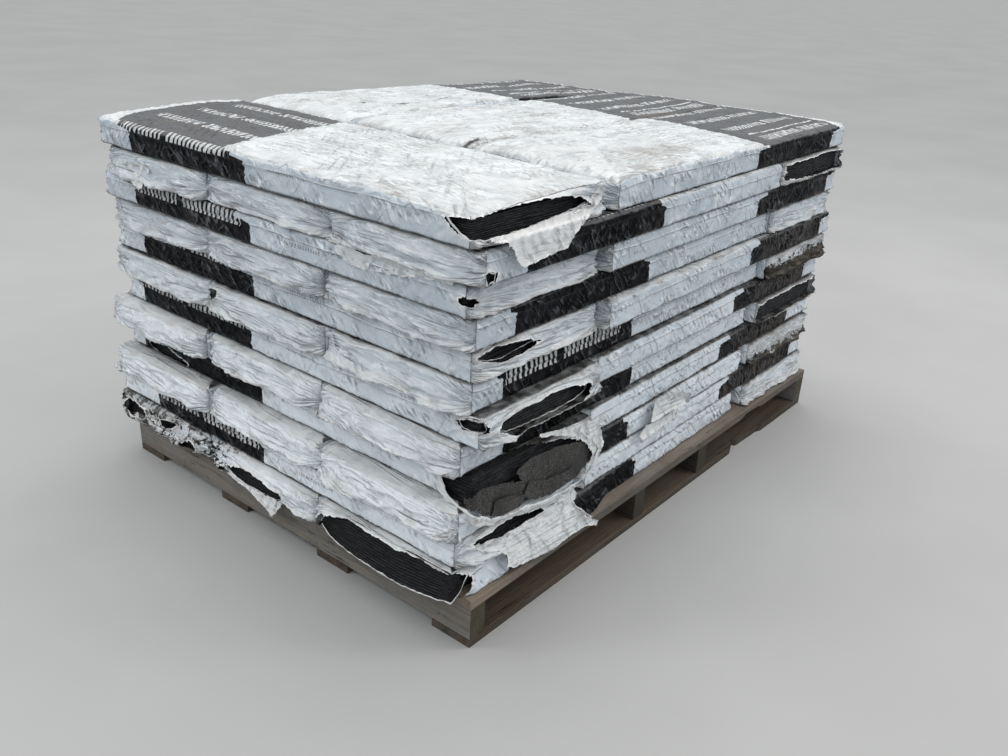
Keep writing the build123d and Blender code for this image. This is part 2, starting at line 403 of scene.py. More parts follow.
    # the black print on the top turns grey: dust plus painted sky sheen
    blk = m.mix(m.mul(top, 0.62), blk, (0.100, 0.102, 0.106))
    ink = m.mix(m.mul(m.step(m.noise(ob, 75.0, 2.0, 0.7), 0.62, 0.78), 0.35), (0.62, 0.63, 0.63), (0.16, 0.16, 0.165))
    col = m.mix(band, white, blk)
    col = m.mix(m.mul(printed, 0.93), col, ink)
    # brown upright smears, mostly over the printed part
    sm_n = m.noise(m.vec(m.mul(s, 0.16), m.mul(g, 0.035), rid), 1.0, 3.0, 0.7)
    sm = m.mul(smear, m.step(sm_n, 0.47, 0.60), True)
    col = m.mix(m.mul(sm, 0.8), col, (0.115, 0.100, 0.088))
    # general dirt; the same mask also carries painted shade along the bottom of each wall and in the recesses of the
    # slack ends
    dn = m.noise(ob, 120.0, 3.0, 0.72)
    dn2 = m.noise(ob, 22.0, 2.0, 0.6)
    dd = m.step(m.add(m.mul(dirt_and_shade, 0.95), m.mul(m.sub(dn, 0.5), 0.9)), 0.38, 0.85)
    dd = m.mul(dd, m.lin(dn2, 0.3, 0.7, 0.45, 1.0))
    col = m.mix(m.mul(dd, 0.72), col, (0.150, 0.126, 0.100))
    # fine specks and faint films of dust
    speck = m.mul(m.step(m.noise(ob, 300.0, 2.0, 0.6), 0.66, 0.72), m.lin(dirt_and_shade, 0.05, 0.5, 0.10, 1.0))
    col = m.mix(m.mul(speck, 0.75), col, (0.085, 0.070, 0.056))
    haze = m.mul(m.mul(m.step(m.noise(ob, 30.0, 3.0, 0.7), 0.52, 0.75), m.lin(top, 0.0, 1.0, 0.10, 0.22)), m.sub(1.0, m.mul(band, 0.7)))
    col = m.mix(haze, col, (0.46, 0.43, 0.38))

    # wrinkles: leaning creases, crumples and fine tension lines
    c1 = m.vec(m.add(m.mul(s, 0.042), m.mul(g, 0.032)), m.sub(m.mul(g, 0.012), m.mul(s, 0.004)), m.mul(rid, 37.0))
    w1 = m.noise(c1, 1.0, 0.0, 0.5, 0.0)
    c2 = m.vec(m.sub(m.mul(s, 0.052), m.mul(g, 0.034)), m.add(m.mul(g, 0.016), m.mul(s, 0.006)), m.add(m.mul(rid, 53.0), 9.0))
    w2 = m.noise(c2, 1.0, 0.0, 0.5, 0.0)
    c3 = m.vec(m.mul(s, 0.0065), m.add(m.mul(g, 0.07), m.mul(s, 0.004)), m.add(m.mul(rid, 71.0), 3.0))
    w3 = m.noise(c3, 1.0, 0.0, 0.5, 0.0)
    area = m.step(m.noise(m.vec(m.mul(s, 0.012), m.mul(g, 0.02), m.mul(rid, 11.0)), 1.0, 2.0), 0.42, 0.58)
    area = m.lin(area, 0.0, 1.0, 0.08, 1.0)
    area2 = m.step(m.noise(m.vec(m.mul(s, 0.02), m.mul(g, 0.02), m.add(m.mul(rid, 23.0), 5.0)), 1.0, 1.0), 0.45, 0.6)
    upr = m.mul(area, m.sub(1.0, m.mul(isend, 0.75)))
    r1, r2 = m.ridge(w1, 0.115), m.mul(m.ridge(w2, 0.105), area2)
    r3 = m.mul(m.ridge(w3, 0.10), m.mul(isend, m.mul(m.lin(area, 0.0, 1.0, 0.25, 1.0), m.lin(g, 12.0, 42.0, 1.0, 0.45))))
    # fine leaning strokes of the taut film below the seam
    hv = m.noise(m.vec(m.add(m.mul(s, 0.120), m.mul(g, 0.096)), m.add(m.sub(m.mul(g, 0.034), m.mul(s, 0.030)), m.mul(rid, 19.0)), 4.0), 1.0, 0.5, 0.5)
    hm = m.step(m.noise(m.vec(m.mul(s, 0.015), m.mul(g, 0.034), m.mul(rid, 31.0)), 1.0, 2.0), 0.50, 0.64)
    hatch = m.mul(m.mul(m.sub(hv, 0.5), m.lin(hm, 0.0, 1.0, 0.06, 1.0)), m.mul(m.lin(g, 34.0, 44.0, 1.0, 0.55), m.sub(1.0, m.mul(isend, 0.7))))
    w4 = m.noise(m.vec(m.mul(s, 0.012), m.add(m.mul(g, 0.15), m.mul(s, 0.010)), m.add(m.mul(rid, 91.0), 7.0)), 1.0, 0.0, 0.5)
    r4 = m.mul(m.mul(m.ridge(w4, 0.10), isend), m.mul(m.lin(area2, 0.0, 1.0, 0.2, 1.0), m.lin(g, 14.0, 34.0, 1.0, 0.35)))
    fine = m.noise(m.vec(m.mul(s, 0.34), m.mul(g, 0.25), rid), 1.0, 1.0, 0.6)
    hgt = m.add(m.mul(m.add(m.mul(r1, 0.8), m.mul(r2, 0.7)), upr), m.add(m.add(m.mul(r3, 1.15), m.mul(r4, 0.50)), m.add(m.mul(fine, 0.08), m.mul(hatch, m.lin(top, 0.0, 1.0, 2.6, 0.25)))))
    hgt = m.add(hgt, m.mul(m.mul(fac_d, fmask), 0.9))
    n1 = m.bump(hgt, 0.0034, 1.0)
    n2 = m.bump(m.noise(ob, 260.0, 1.0, 0.5), 0.0003, 0.4, n1)
    # painted highlights along the crease crests: lighter on the white film, grey on the black print
    crest = m.maxi(m.mul(m.ridge(m.sub(w1, -0.010), 0.036), upr), m.mul(m.mul(m.ridge(m.sub(w2, -0.010), 0.028), area2), upr))
    crest = m.mul(crest, m.lin(m.noise(ob, 55.0, 2.0), 0.34, 0.56, 0.0, 1.0))
    crest = m.mul(crest, m.sub(1.0, top))
    col = m.mix(m.mul(m.mul(crest, 0.80), m.sub(1.0, band)), col, (0.95, 0.97, 0.98))
    col = m.mix(m.mul(m.mul(crest, 0.75), band), col, (0.105, 0.113, 0.125))
    # fine strokes catch and lose the light
    amt = m.mul(m.mul(m.lin(hm, 0.0, 1.0, 0.04, 1.0), m.sub(1.0, m.mul(isend, 0.6))), m.sub(1.0, m.mul(top, 0.93)))
    hv_l, hv_d = m.mul(m.step(hv, 0.555, 0.64), amt), m.mul(m.step(hv, 0.445, 0.36), amt)
    col = m.mix(m.mul(m.mul(hv_l, 0.70), m.sub(1.0, band)), col, (0.93, 0.96, 0.98))
    col = m.mix(m.mul(m.mul(hv_d, 0.58), m.sub(1.0, band)), col, (0.17, 0.195, 0.22))
    col = m.mix(m.mul(m.mul(m.step(hv, 0.58, 0.66), amt), m.mul(band, 0.8)), col, (0.070, 0.077, 0.088))
    # painted highlights and shade along the folds of the slack ends
    e_l = m.mul(m.mul(m.ridge(m.add(w4, 0.055), 0.030), isend), m.sub(1.0, top))
    e_d = m.mul(m.mul(m.ridge(m.sub(w4, 0.045), 0.030), isend), m.sub(1.0, top))
    col = m.mix(m.mul(m.mul(e_l, 0.55), m.sub(1.0, band)), col, (0.93, 0.95, 0.96))
    col = m.mix(m.mul(m.mul(e_d, m.lin(area, 0.0, 1.0, 0.30, 0.62)), m.sub(1.0, band)), col, (0.150, 0.160, 0.170))
    # painted shade and highlights along the wrinkles on the top
    flat_top = m.mul(top, m.sub(1.0, isend))
    wt = m.noise(m.vec(m.add(m.mul(s, 0.009), m.mul(g, 0.006)), m.add(m.mul(g, 0.085), m.mul(s, 0.014)), m.mul(rid, 29.0)), 1.0, 1.0, 0.6)
    t_d = m.mul(m.maxi(m.ridge(m.sub(wt, 0.06), 0.020), m.ridge(m.add(wt, 0.09), 0.016)), m.mul(flat_top, m.lin(area, 0.0, 1.0, 0.30, 1.0)))
    t_l = m.mul(m.maxi(m.ridge(m.sub(wt, 0.10), 0.024), m.ridge(m.add(wt, 0.05), 0.022)), flat_top)
    calm = m.step(m.noise(ob, 7.0, 1.0), 0.40, 0.58)
    t_d, t_l = m.mul(t_d, m.lin(calm, 0.0, 1.0, 0.25, 1.0)), m.mul(t_l, m.lin(calm, 0.0, 1.0, 0.35, 1.0))
    col = m.mix(m.mul(m.mul(t_d, 0.55), m.sub(1.0, band)), col, (0.200, 0.200, 0.200))
    col = m.mix(m.mul(m.mul(t_l, 0.60), m.sub(1.0, band)), col, (0.96, 0.97, 0.97))
    col = m.mix(m.mul(m.mul(t_l, 0.30), m.mul(band, m.sub(1.0, printed))), col, (0.180, 0.183, 0.188))
    # the long seam: a painted highlight on the fold over a thin painted shadow line
    sn = m.lin(m.noise(m.vec(m.mul(s, 0.02), rid, 3.0), 1.0, 1.0), 0.38, 0.56, 0.15, 1.0)
    s_d = m.mul(m.lin(m.math("ABSOLUTE", m.add(seam, 1.6)), 0.7, 1.7, 1.0, 0.0), sn)
    s_l = m.mul(m.lin(m.math("ABSOLUTE", m.sub(seam, 0.9)), 0.6, 1.6, 1.0, 0.0), sn)
    col = m.mix(m.mul(m.mul(s_d, 0.60), m.sub(1.0, band)), col, (0.075, 0.078, 0.085))
    col = m.mix(m.mul(m.mul(s_l, 0.65), m.sub(1.0, band)), col, (0.93, 0.95, 0.97))
    col = m.mix(m.mul(m.mul(s_l, 0.5), band), col, (0.040, 0.043, 0.048))
    # the torn edge of the film is bright
    col = m.mix(m.mul(m.step(torn, 2.8, 1.4), 0.7), col, (0.90, 0.91, 0.91))
    # painted shade in the creases and cavities of the film, strongest where the dirt mask is high, mixed towards a
    # dirty brown
    f1 = m.mul(m.ridge(m.sub(w1, 0.060), 0.014), upr)
    f2 = m.mul(m.ridge(m.sub(w2, 0.055), 0.013), upr)
    f3 = m.mul(m.ridge(m.sub(w3, 0.035), 0.016), isend)
    f3 = m.maxi(m.mul(f3, 0.7), m.mul(m.mul(m.ridge(m.sub(w4, 0.04), 0.022), isend), m.mul(area2, m.lin(g, 14.0, 34.0, 1.0, 0.1))))
    lines = m.mul(m.maxi(m.maxi(f1, m.mul(f2, area2)), m.mul(f3, 2.2)), m.lin(m.noise(ob, 35.0, 2.0), 0.45, 0.65, 0.0, 1.0))
    grime_and_crease_shade = m.maxi(m.mul(lines, m.lin(dirt_and_shade, 0.0, 0.6, 0.0, 0.6)), m.mul(m.mul(cav, m.lin(isend, 0.0, 1.0, 0.28, 1.0)), m.lin(m.noise(ob, 28.0, 2.0, 0.6), 0.44, 0.66, 0.0, 0.9)))
    col = m.mix(m.mul(grime_and_crease_shade, 0.5, True), col, (0.135, 0.118, 0.100))
    # near-black painted shade in the crevices between layers and under the ledge of the layer above; on the top it also
    # marks the dark holes
    col = m.mix(m.mul(crev, m.lin(m.noise(ob, 40.0, 1.0, 0.6), 0.3, 0.6, 0.72, 1.0), True), col, (0.012, 0.010, 0.009))

    rough = m.lin(m.noise(ob, 60.0, 1.0, 0.6), 0.3, 0.7, 0.22, 0.40)
    rough = m.add(rough, m.mul(m.maxi(dd, sm), 0.35))
    rough = m.add(rough, m.mul(top, 0.08))
    m.set(Base_Color=col, Roughness=rough, Normal=n2, IOR=1.45)
    # the black print is duller, except on stretched creases
    spec = m.lin(m.mul(m.mul(band, m.sub(1.0, top)), m.sub(1.0, m.mul(crest, 0.8))), 0.0, 1.0, 0.60, 0.05)
    m.link(spec, m.bsdf.inputs["Specular IOR Level"])
    return m.mat


def shingle_material():
    m = Nodes("shingle_granules")
    ob = m.obj()
    st, msk = m.attr("st"), m.attr("msk")
    face, warm = msk[0], msk[1]
    gr = m.voronoi(ob, 640.0, out="Color")
    gv = m.split(gr)[0]
    n = m.noise(ob, 230.0, 4.0, 0.7)
    edge = m.mix(m.step(m.mul(gv, m.lin(n, 0.2, 0.8, 0.3, 1.3)), 0.35, 0.95), (0.0030, 0.0033, 0.0040), (0.026, 0.026, 0.028))
    gcol = m.mix(m.step(gv, 0.2, 0.9), (0.010, 0.010, 0.011), (0.120, 0.114, 0.108))
    gcol = m.mix(m.mul(m.step(m.noise(ob, 24.0, 3.0), 0.42, 0.66), 0.7), gcol, (0.036, 0.034, 0.033))
    col = m.mix(face, edge, gcol)
    col = m.mix(m.mul(warm, m.step(n, 0.45, 0.7), True), col, (0.11, 0.085, 0.066))
    # the cut edge catches the light along each sheet's upper arris
    lip = m.step(m.math("ABSOLUTE", m.sub(m.math("MODULO", st[1], 5.0), 3.2)), 0.9, 0.2)
    lip = m.mul(m.mul(lip, m.sub(1.0, face)), m.lin(m.noise(m.vec(m.mul(st[0], 0.03), st[2], 2.0), 1.0, 3.0, 0.7), 0.42, 0.64, 0.0, 0.85))
    col = m.mix(lip, col, (0.085, 0.090, 0.098))
    lines = m.noise(m.vec(m.mul(st[0], 0.05), m.mul(st[1], 1.3), st[2]), 1.0, 3.0, 0.6)
    b1 = m.bump(m.add(m.mul(gv, 0.7), m.mul(n, 0.7)), 0.0011, 0.9)
    b2 = m.bump(lines, 0.0018, 0.6, b1)
    m.set(Base_Color=col, Normal=b2, Roughness=m.lin(n, 0.3, 0.7, 0.38, 0.75))
    m.bsdf.inputs["Specular IOR Level"].default_value = 0.3
    return m.mat


def wood_material(name, axis, light=(0.30, 0.235, 0.170), dark=(0.105, 0.082, 0.062), grey=0.5, south_shade_col=(0.030, 0.024, 0.014), south_shade_amt=0.9, upper=(0.34, 0.285, 0.235), tan=False):
    """Weathered sawn softwood; the grain runs along the given axis."""
    m = Nodes(name)
    ob = m.obj()
    msk = m.attr("msk")
    L, A = 2.2, 46.0
    sc = (L, A, A) if axis == 0 else (A, L, A)
    g1 = m.noise(m.scaled(ob, *sc), 1.0, 4.0, 0.65, 0.35)
    sc2 = (9, 330, 330) if axis == 0 else (330, 9, 330)
    g2 = m.noise(m.scaled(ob, *sc2), 1.0, 3.0, 0.6)
    blot = m.noise(ob, 8.0, 4.0, 0.62)
    rings = m.math("FRACT", m.mul(g1, 7.0))
    ring = m.mul(m.step(rings, 0.0, 0.75), m.step(rings, 1.0, 0.85))
    col = m.mix(m.lin(g1, 0.3, 0.7, 0.0, 1.0), dark, light)
    col = m.mix(m.mul(ring, 0.35), col, tuple(c * 0.45 for c in light))
    col = m.mix(m.mul(m.step(g2, 0.45, 0.75), 0.45), col, tuple(c * 0.35 for c in dark))
    lum = sum(light) / 3
    col = m.mix(m.mul(m.step(blot, 0.35, 0.65), grey), col, (lum * 0.82, lum * 0.79, lum * 0.73))
    col = m.mix(m.mul(m.step(m.noise(ob, 26.0, 5.0, 0.7), 0.56, 0.72), 0.55), col, (0.045, 0.036, 0.028))
    col = m.mix(m.mul(m.step(m.noise(ob, 300.0, 2.0), 0.62, 0.7), 0.3), col, (0.04, 0.035, 0.03))
    col = m.mix(m.mul(msk[0], 0.85, True), col, (0.020, 0.016, 0.013))
    col = m.mix(m.mul(msk[1], 0.7, True), col, (0.36, 0.29, 0.21))
    col = m.mix(m.mul(m.mul(msk[2], 0.55), m.step(m.noise(ob, 90.0, 3.0), 0.4, 0.6), True), col, (0.17, 0.18, 0.075))
    nrm = m.split(m.new("ShaderNodeNewGeometry").outputs["Normal"])
    # painted shade: south-facing wood is darkened
    south = m.step(nrm[1], -0.35, -0.85)
    south_shade = m.mul(south, m.lin(m.noise(ob, 14.0, 4.0, 0.65), 0.3, 0.7, south_shade_amt * 0.6, south_shade_amt))
    if tan:
        # the near end of the lead board is paler, and the painted south shade is left off there
        pos = m.split(m.new("ShaderNodeNewGeometry").outputs["Position"])
        near = m.step(m.add(pos[0], m.mul(m.noise(ob, 30.0, 4.0, 0.7), 0.22)), -0.36, -0.50)
        south_shade = m.mul(south_shade, m.sub(1.0, near))
        col = m.mix(m.mul(near, m.lin(g2, 0.3, 0.7, 0.25, 0.75)), col, (0.36, 0.285, 0.215))
    col = m.mix(south_shade, col, south_shade_col)
    # painted light: up-facing wood is lightened
    up_ = m.mul(m.step(nrm[2], 0.4, 0.9), m.lin(g1, 0.3, 0.7, 0.15, 0.6))
    col = m.mix(up_, col, upper)
    crack = m.noise(m.scaled(ob, *((3.0, 60.0, 60.0) if axis == 0 else (60.0, 3.0, 60.0))), 1.0, 3.0, 0.6, 0.2)
    crk = m.mul(m.ridge(m.sub(crack, 0.08), 0.010), m.step(m.noise(ob, 5.0, 2.0), 0.46, 0.58))
    col = m.mix(m.mul(crk, 0.8), col, (0.018, 0.014, 0.011))
    h = m.sub(m.add(m.mul(g1, 0.6), m.mul(g2, 0.8)), m.mul(crk, 1.2))
    b1 = m.bump(h, 0.0024, 0.9)
    b2 = m.bump(m.noise(ob, 520.0, 3.0, 0.65), 0.0005, 0.6, b1)
    m.set(Base_Color=col, Normal=b2, Roughness=m.lin(g1, 0.3, 0.7, 0.72, 0.92))
    m.bsdf.inputs["Specular IOR Level"].default_value = 0.25
    return m.mat


def floor_material():
    m = Nodes("pale_floor")
    ob = m.obj()
    n = m.noise(ob, 1.3, 3.0, 0.6)
    m.set(Base_Color=m.mix(m.step(n, 0.3, 0.7), (0.43, 0.43, 0.425), (0.46, 0.46, 0.455)), Roughness=0.85)
    m.bsdf.inputs["Specular IOR Level"].default_value = 0.2
    return m.mat


FILM = film_material()
SHINGLE = shingle_material()
WOOD_X = wood_material("pallet_wood_along_x", 0)
WOOD_Y = wood_material("pallet_wood_along_y", 1, light=(0.300, 0.270, 0.235), dark=(0.125, 0.110, 0.092), grey=0.75, south_shade_col=(0.042, 0.034, 0.011), south_shade_amt=1.0)
# a darker copy of the wood: painted shade for the inner stringers
WOOD_IN_SHADED = wood_material("pallet_wood_inner_shaded", 1, light=(0.085, 0.070, 0.052), dark=(0.030, 0.024, 0.018), grey=0.4, south_shade_col=(0.050, 0.041, 0.030), south_shade_amt=0.6, upper=(0.08, 0.07, 0.055))
# a darker copy of the wood: painted shade for the bottom boards under the deck
WOOD_LOW_SHADED = wood_material("pallet_wood_low_shaded", 0, light=(0.170, 0.122, 0.084), dark=(0.030, 0.023, 0.017), grey=0.45, south_shade_col=(0.050, 0.042, 0.031), south_shade_amt=0.5, upper=(0.085, 0.062, 0.042))
WOOD_LEAD = wood_material("pallet_wood_lead", 0, light=(0.330, 0.275, 0.220), dark=(0.070, 0.056, 0.043), grey=0.5, south_shade_col=(0.062, 0.053, 0.042), south_shade_amt=0.6, upper=(0.26, 0.215, 0.175), tan=True)

# ---------------------------------------------------------------- film wrappers
CAM, BACK, HID = 2, 1, 0
EDGE = [0, 1.3, 3.2, 5.8, 9.0, 12.8]


def axis_rows(L, level, top=False):
    """Lattice positions along an axis whose neighbouring face has that exposure."""
    step = {CAM: 4.6, BACK: 10.0, HID: 38.0}[level]
    if top:
        step = min(step, 6.0)
    lo = list(EDGE)
    if level == HID and not top:
        lo += [17, 22.5, 29, 37, 48]
    a = lo[-1]
    n = max(1, int(round((L - 2 * a) / step)))
    mid = [a + (L - 2 * a) * i / n for i in range(1, n)]
    return np.array(lo + mid + [L - t for t in reversed(lo)])


def z_rows(level):
    if level >= CAM:
        lo = [0, 1.3, 3.2, 5.8]
        n = 11
    else:
        lo = [0, 2.0, 5.8]
        n = 7
    a = lo[-1]
    mid = [a + (H - 2 * a) * i / n for i in range(1, n)]
    return np.array(lo + mid + [H - t for t in reversed(lo)])


# Where the film is torn open. (layer, bundle, face): outlines in mm along the
# face and up from the bundle's underside. On the near corner's two faces the
# run is one line: right of the corner is positive, left of it negative.
TEARS = {
    (1, 0): [[(-46, 42), (-20, 52), (20, 53), (65, 53), (162, 50), (228, 45), (271, 34), (287, 24), (218, 15), (141, 8), (80, 4), (39, 7), (0, 16), (-19, 22), (-36, 32)]],
    (2, 0): [[(-2, 19), (6, 25), (12, 21), (25, 18), (18, 12), (20, 4), (12, 8), (7, -1), (2, 3), (1, 11)]],
    (3, 0): [[(-15, 28), (-5, 36), (13, 33), (16, 27), (8, 21), (-6, 23)]],
    (5, 0): [[(8, 44), (25, 50), (56, 51), (93, 48), (133, 40), (161, 31), (134, 28), (95, 25), (70, 23), (50, 26), (31, 30), (14, 36)]],
    (7, 0): [[(-43, 43), (-26, 52), (-4, 58), (10, 56), (12, 44), (18, 30), (3, 36), (-19, 31), (-34, 33)],
             [(37, 24), (51, 37), (81, 44), (128, 47), (183, 46), (243, 39), (299, 26), (286, 14), (262, 6), (218, 4), (160, 6), (105, 8), (66, 14)]],
    (9, 0): [[(-73, 35), (-39, 43), (-20, 70), (41, 80), (119, 80), (175, 62), (236, 45), (296, 20), (330, -8), (330, -40), (0, -40), (-30, -10), (-49, 6), (-65, 18)]],
    (11, 0): [[(31, 36), (51, 46), (96, 45), (151, 39), (210, 27), (250, 10), (242, 3), (197, 7), (139, 14), (98, 17), (63, 22)]],
    (12, 0): [[(-325, 30), (-329, 1), (-312, -20), (-49, -20), (5, -6), (18, 4), (34, 23), (40, 34), (7, 55), (-27, 54), (-62, 53), (-97, 53), (-134, 47), (-171, 50), (-210, 52), (-249, 53), (-290, 43)]],
    (10, 0): [[(-318, -3), (-288, 3), (-256, 3), (-222, 3), (-250, -8), (-294, -9)]],
    (12, 1): [[(-294, 10), (-241, 29), (-192, 35), (-145, 31), (-108, 24), (-91, 18), (-101, 4), (-133, -9), (-174, -11), (-219, -11), (-252, -9), (-278, 0)]],
    (12, 2): [[(-325, 20), (-300, 42), (-262, 47), (-226, 40), (-222, 22), (-252, 14), (-285, 12)],
              [(-302, -6), (-257, 6), (-207, 2), (-185, -6), (-222, -14), (-283, -16)],
              [(-171, 36), (-140, 46), (-112, 44), (-122, 32), (-150, 28)],
              [(-86, 14), (-60, 26), (-43, 22), (-40, 6), (-60, -2), (-80, 0)],
              [(-200, 26), (-186, 30), (-176, 24), (-188, 18)], [(-236, 30), (-222, 36), (-212, 30), (-222, 24)]],
    (9, 3): [],
    (2, 3): [[(10, 14), (60, 12), (200, 8), (326, 8), (328, 50), (200, 51), (60, 50), (10, 47)]],
    (8, 3): [[(4, 5), (100, 3), (240, 4), (330, 6), (330, 51), (200, 52), (90, 51), (6, 49)]],
    (6, 1): [[(-333, 40), (-322, 50), (-306, 46), (-300, 34), (-314, 27), (-328, 30)]],
}
# (9, 0) has one more slit near the far end of its long face
TEARS[(9, 0)].append([(-937, 20), (-905, 26), (-870, 30), (-835, 24), (-790, 10), (-800, 4), (-832, 8), (-890, 6), (-925, 12)])


def film_bundle(bag, k, i):
    x0, y0, lengthwise = places(k)[i]
    z0 = layer_z(k)
    Lx, Ly = (1002.0, 336.0) if lengthwise else (336.0, 1002.0)
    odd, top1 = k % 2 == 1, k == 1
    seed = k * 101 + i * 17
    rng = np.random.RandomState(seed)
    if odd:
        if i == 0:
            E = dict(W=CAM, S=CAM, N=BACK, E=HID)
        else:
            E = dict(W=HID, S=CAM if i == 1 else HID, N=BACK if i == 3 else HID, E=BACK)
    else:
        if i < 3:
            E = dict(W=CAM, S=CAM if i == 0 else HID, N=BACK if i == 2 else HID, E=HID)
        else:
            E = dict(W=HID, S=CAM, N=BACK, E=BACK)
    kind = dict(W="end" if lengthwise else "side", E="end" if lengthwise else "side",
                S="side" if lengthwise else "end", N="side" if lengthwise else "end")
    # the crosswise end next to the lengthwise bundles shows at the faces' notches
    xs = axis_rows(Lx, max(E["S"], E["N"]), top1)
    ys = axis_rows(Ly, max(E["W"], E["E"]), top1)
    zs = z_rows(max(E.values()))
    nx, ny, nz = len(xs), len(ys), len(zs)

    # vertex list: all lattice points on the surface, top and bottom only near
    # faces that show
    X, Y, Z = np.meshgrid(xs, ys, zs, indexing="ij")
    I, J, K = np.meshgrid(np.arange(nx), np.arange(ny), np.arange(nz), indexing="ij")
    wall = (I == 0) | (I == nx - 1) | (J == 0) | (J == ny - 1)
    big = 1e6
    near = np.full(X.shape, big)
    for f, dist in (("W", X), ("E", Lx - X), ("S", Y), ("N", Ly - Y)):
        if E[f] > HID:
            near = np.minimum(near, dist)
    tlim = 1e7 if top1 else 40.0
    keep = np.zeros(X.shape, bool)
    keep |= (K == nz - 1) & ((near <= tlim) if not top1 else True)
    keep |= (K == 0) & (near <= 20.0)
    hid_reach = 70.0
    for f, on in (("W", I == 0), ("E", I == nx - 1), ("S", J == 0), ("N", J == ny - 1)):
        if E[f] > HID:
            keep |= on
        else:
            keep |= on & (near <= hid_reach)
            if top1:
                keep |= on & (Z > H - 26)
    ids = np.full(X.shape, -1, np.int64)
    ids[keep] = np.arange(keep.sum())
    x, y, z = X[keep], Y[keep], Z[keep]
    on_top, on_bot = (K == nz - 1)[keep], (K == 0)[keep]

    # run along the perimeter, 0 at the near corner, right face positive
    e = np.minimum(np.minimum(x, Lx - x), np.minimum(y, Ly - y))
    dW, dE, dS, dN = x, Lx - x, y, Ly - y
    s = np.where(dS <= np.minimum(np.minimum(dW, dE), dN), x,
                 np.where(dW <= np.minimum(dE, dN), -y,
                          np.where(dE <= dN, Lx + y, -Ly - x)))

    # torn edges: slide nearby wall points onto the outline
    tears = TEARS.get((k, i), [])
    sd = np.full(x.shape, 1e3)
    sides_seen = (dS < 0.01) | (dW < 0.01)
    if tears:
        zz = z + np.where(on_top & (e > 0), e, 0) - np.where(on_bot & (e > 0), e, 0)
        rag = 1.6 * gn(s / 7.0, zz / 7.0, seed + 60) + 1.0 * gn(s / 3.2, zz / 3.2, seed + 61) + 2.2 * gn(s / 23.0, zz / 19.0, seed + 62)
        zone = np.minimum(dS, dW) < 60
        for poly in tears:
            d = poly_sd(s, zz, poly)
            sd = np.where(zone, np.minimum(sd, d), sd)
        over = [p for p in tears if max(q[1] for q in p) > 62]
        if over:
            sdo = np.min([poly_sd(s, zz, p) for p in over], axis=0)
            sd = np.where(on_top & (e > 0.5), np.where(zone, sdo, 1e3), sd)
        else:
            sd = np.where(on_top & (e > 0.5), 1e3, sd)
        sd = sd + np.where(np.abs(sd) < 60, rag, 0)
        # snap
        eps = 0.5
        def field(ss, tt):
            r = 1.6 * gn(ss / 7.0, tt / 7.0, seed + 60) + 1.0 * gn(ss / 3.2, tt / 3.2, seed + 61) + 2.2 * gn(ss / 23.0, tt / 19.0, seed + 62)
            q = np.full(ss.shape, 1e3)
            for poly in tears:
                q = np.minimum(q, poly_sd(ss, tt, poly))
            return q + r
        cand = zone & (np.abs(sd) < 2.6) & (e < 0.01) & (z > 2) & (z < H - 2) & (np.minimum(np.abs(x), np.abs(Lx - x)) + np.minimum(np.abs(y), np.abs(Ly - y)) > 3)
        if cand.any():
            ss, tt = s[cand], z[cand]
            f0 = field(ss, tt)
            gx = (field(ss + eps, tt) - f0) / eps
            gz = (field(ss, tt + eps) - f0) / eps
            gl = np.maximum(gx * gx + gz * gz, 0.2)
            mvx, mvz = -f0 * gx / gl, -f0 * gz / gl
            onS = (dS[cand] < 0.01)
            xi, yi, zi = x[cand], y[cand], z[cand]
            x[cand] = np.where(onS, np.clip(xi + mvx, 0, Lx), xi)
            y[cand] = np.where(onS, yi, np.clip(yi - mvx, 0, Ly))
            z[cand] = np.clip(zi + mvz, 0, H)
            sd[cand] = 0.0
            s[cand] = ss + mvx

    # faces
    Q = []
    def squares(idg, flip):
        a, b, c, d = idg[:-1, :-1], idg[1:, :-1], idg[1:, 1:], idg[:-1, 1:]
        ok = (a >= 0) & (b >= 0) & (c >= 0) & (d >= 0)
        q = np.stack([a[ok], b[ok], c[ok], d[ok]], 1)
        return q[:, ::-1] if flip else q
    Q.append(squares(ids[:, :, nz - 1], False))
    Q.append(squares(ids[:, :, 0], True))
    Q.append(squares(ids[0, :, :], True))
    Q.append(squares(ids[nx - 1, :, :], False))
    Q.append(squares(ids[:, 0, :], False))
    Q.append(squares(ids[:, ny - 1, :], True))
    Q = np.concatenate(Q)
    if tears:
        Q = Q[sd[Q].mean(1) > 0.0]

    # plan normals and corner rounding
    rc = 11.0
    qx, qy = np.clip(x, rc, Lx - rc), np.clip(y, rc, Ly - rc)
    vx, vy = x - qx, y - qy
    linf = np.maximum(np.abs(vx), np.abs(vy))
    l2 = np.hypot(vx, vy)
    f = np.where(l2 > 1e-9, linf / np.maximum(l2, 1e-9), 1.0)
    px_, py_ = qx + vx * f, qy + vy * f
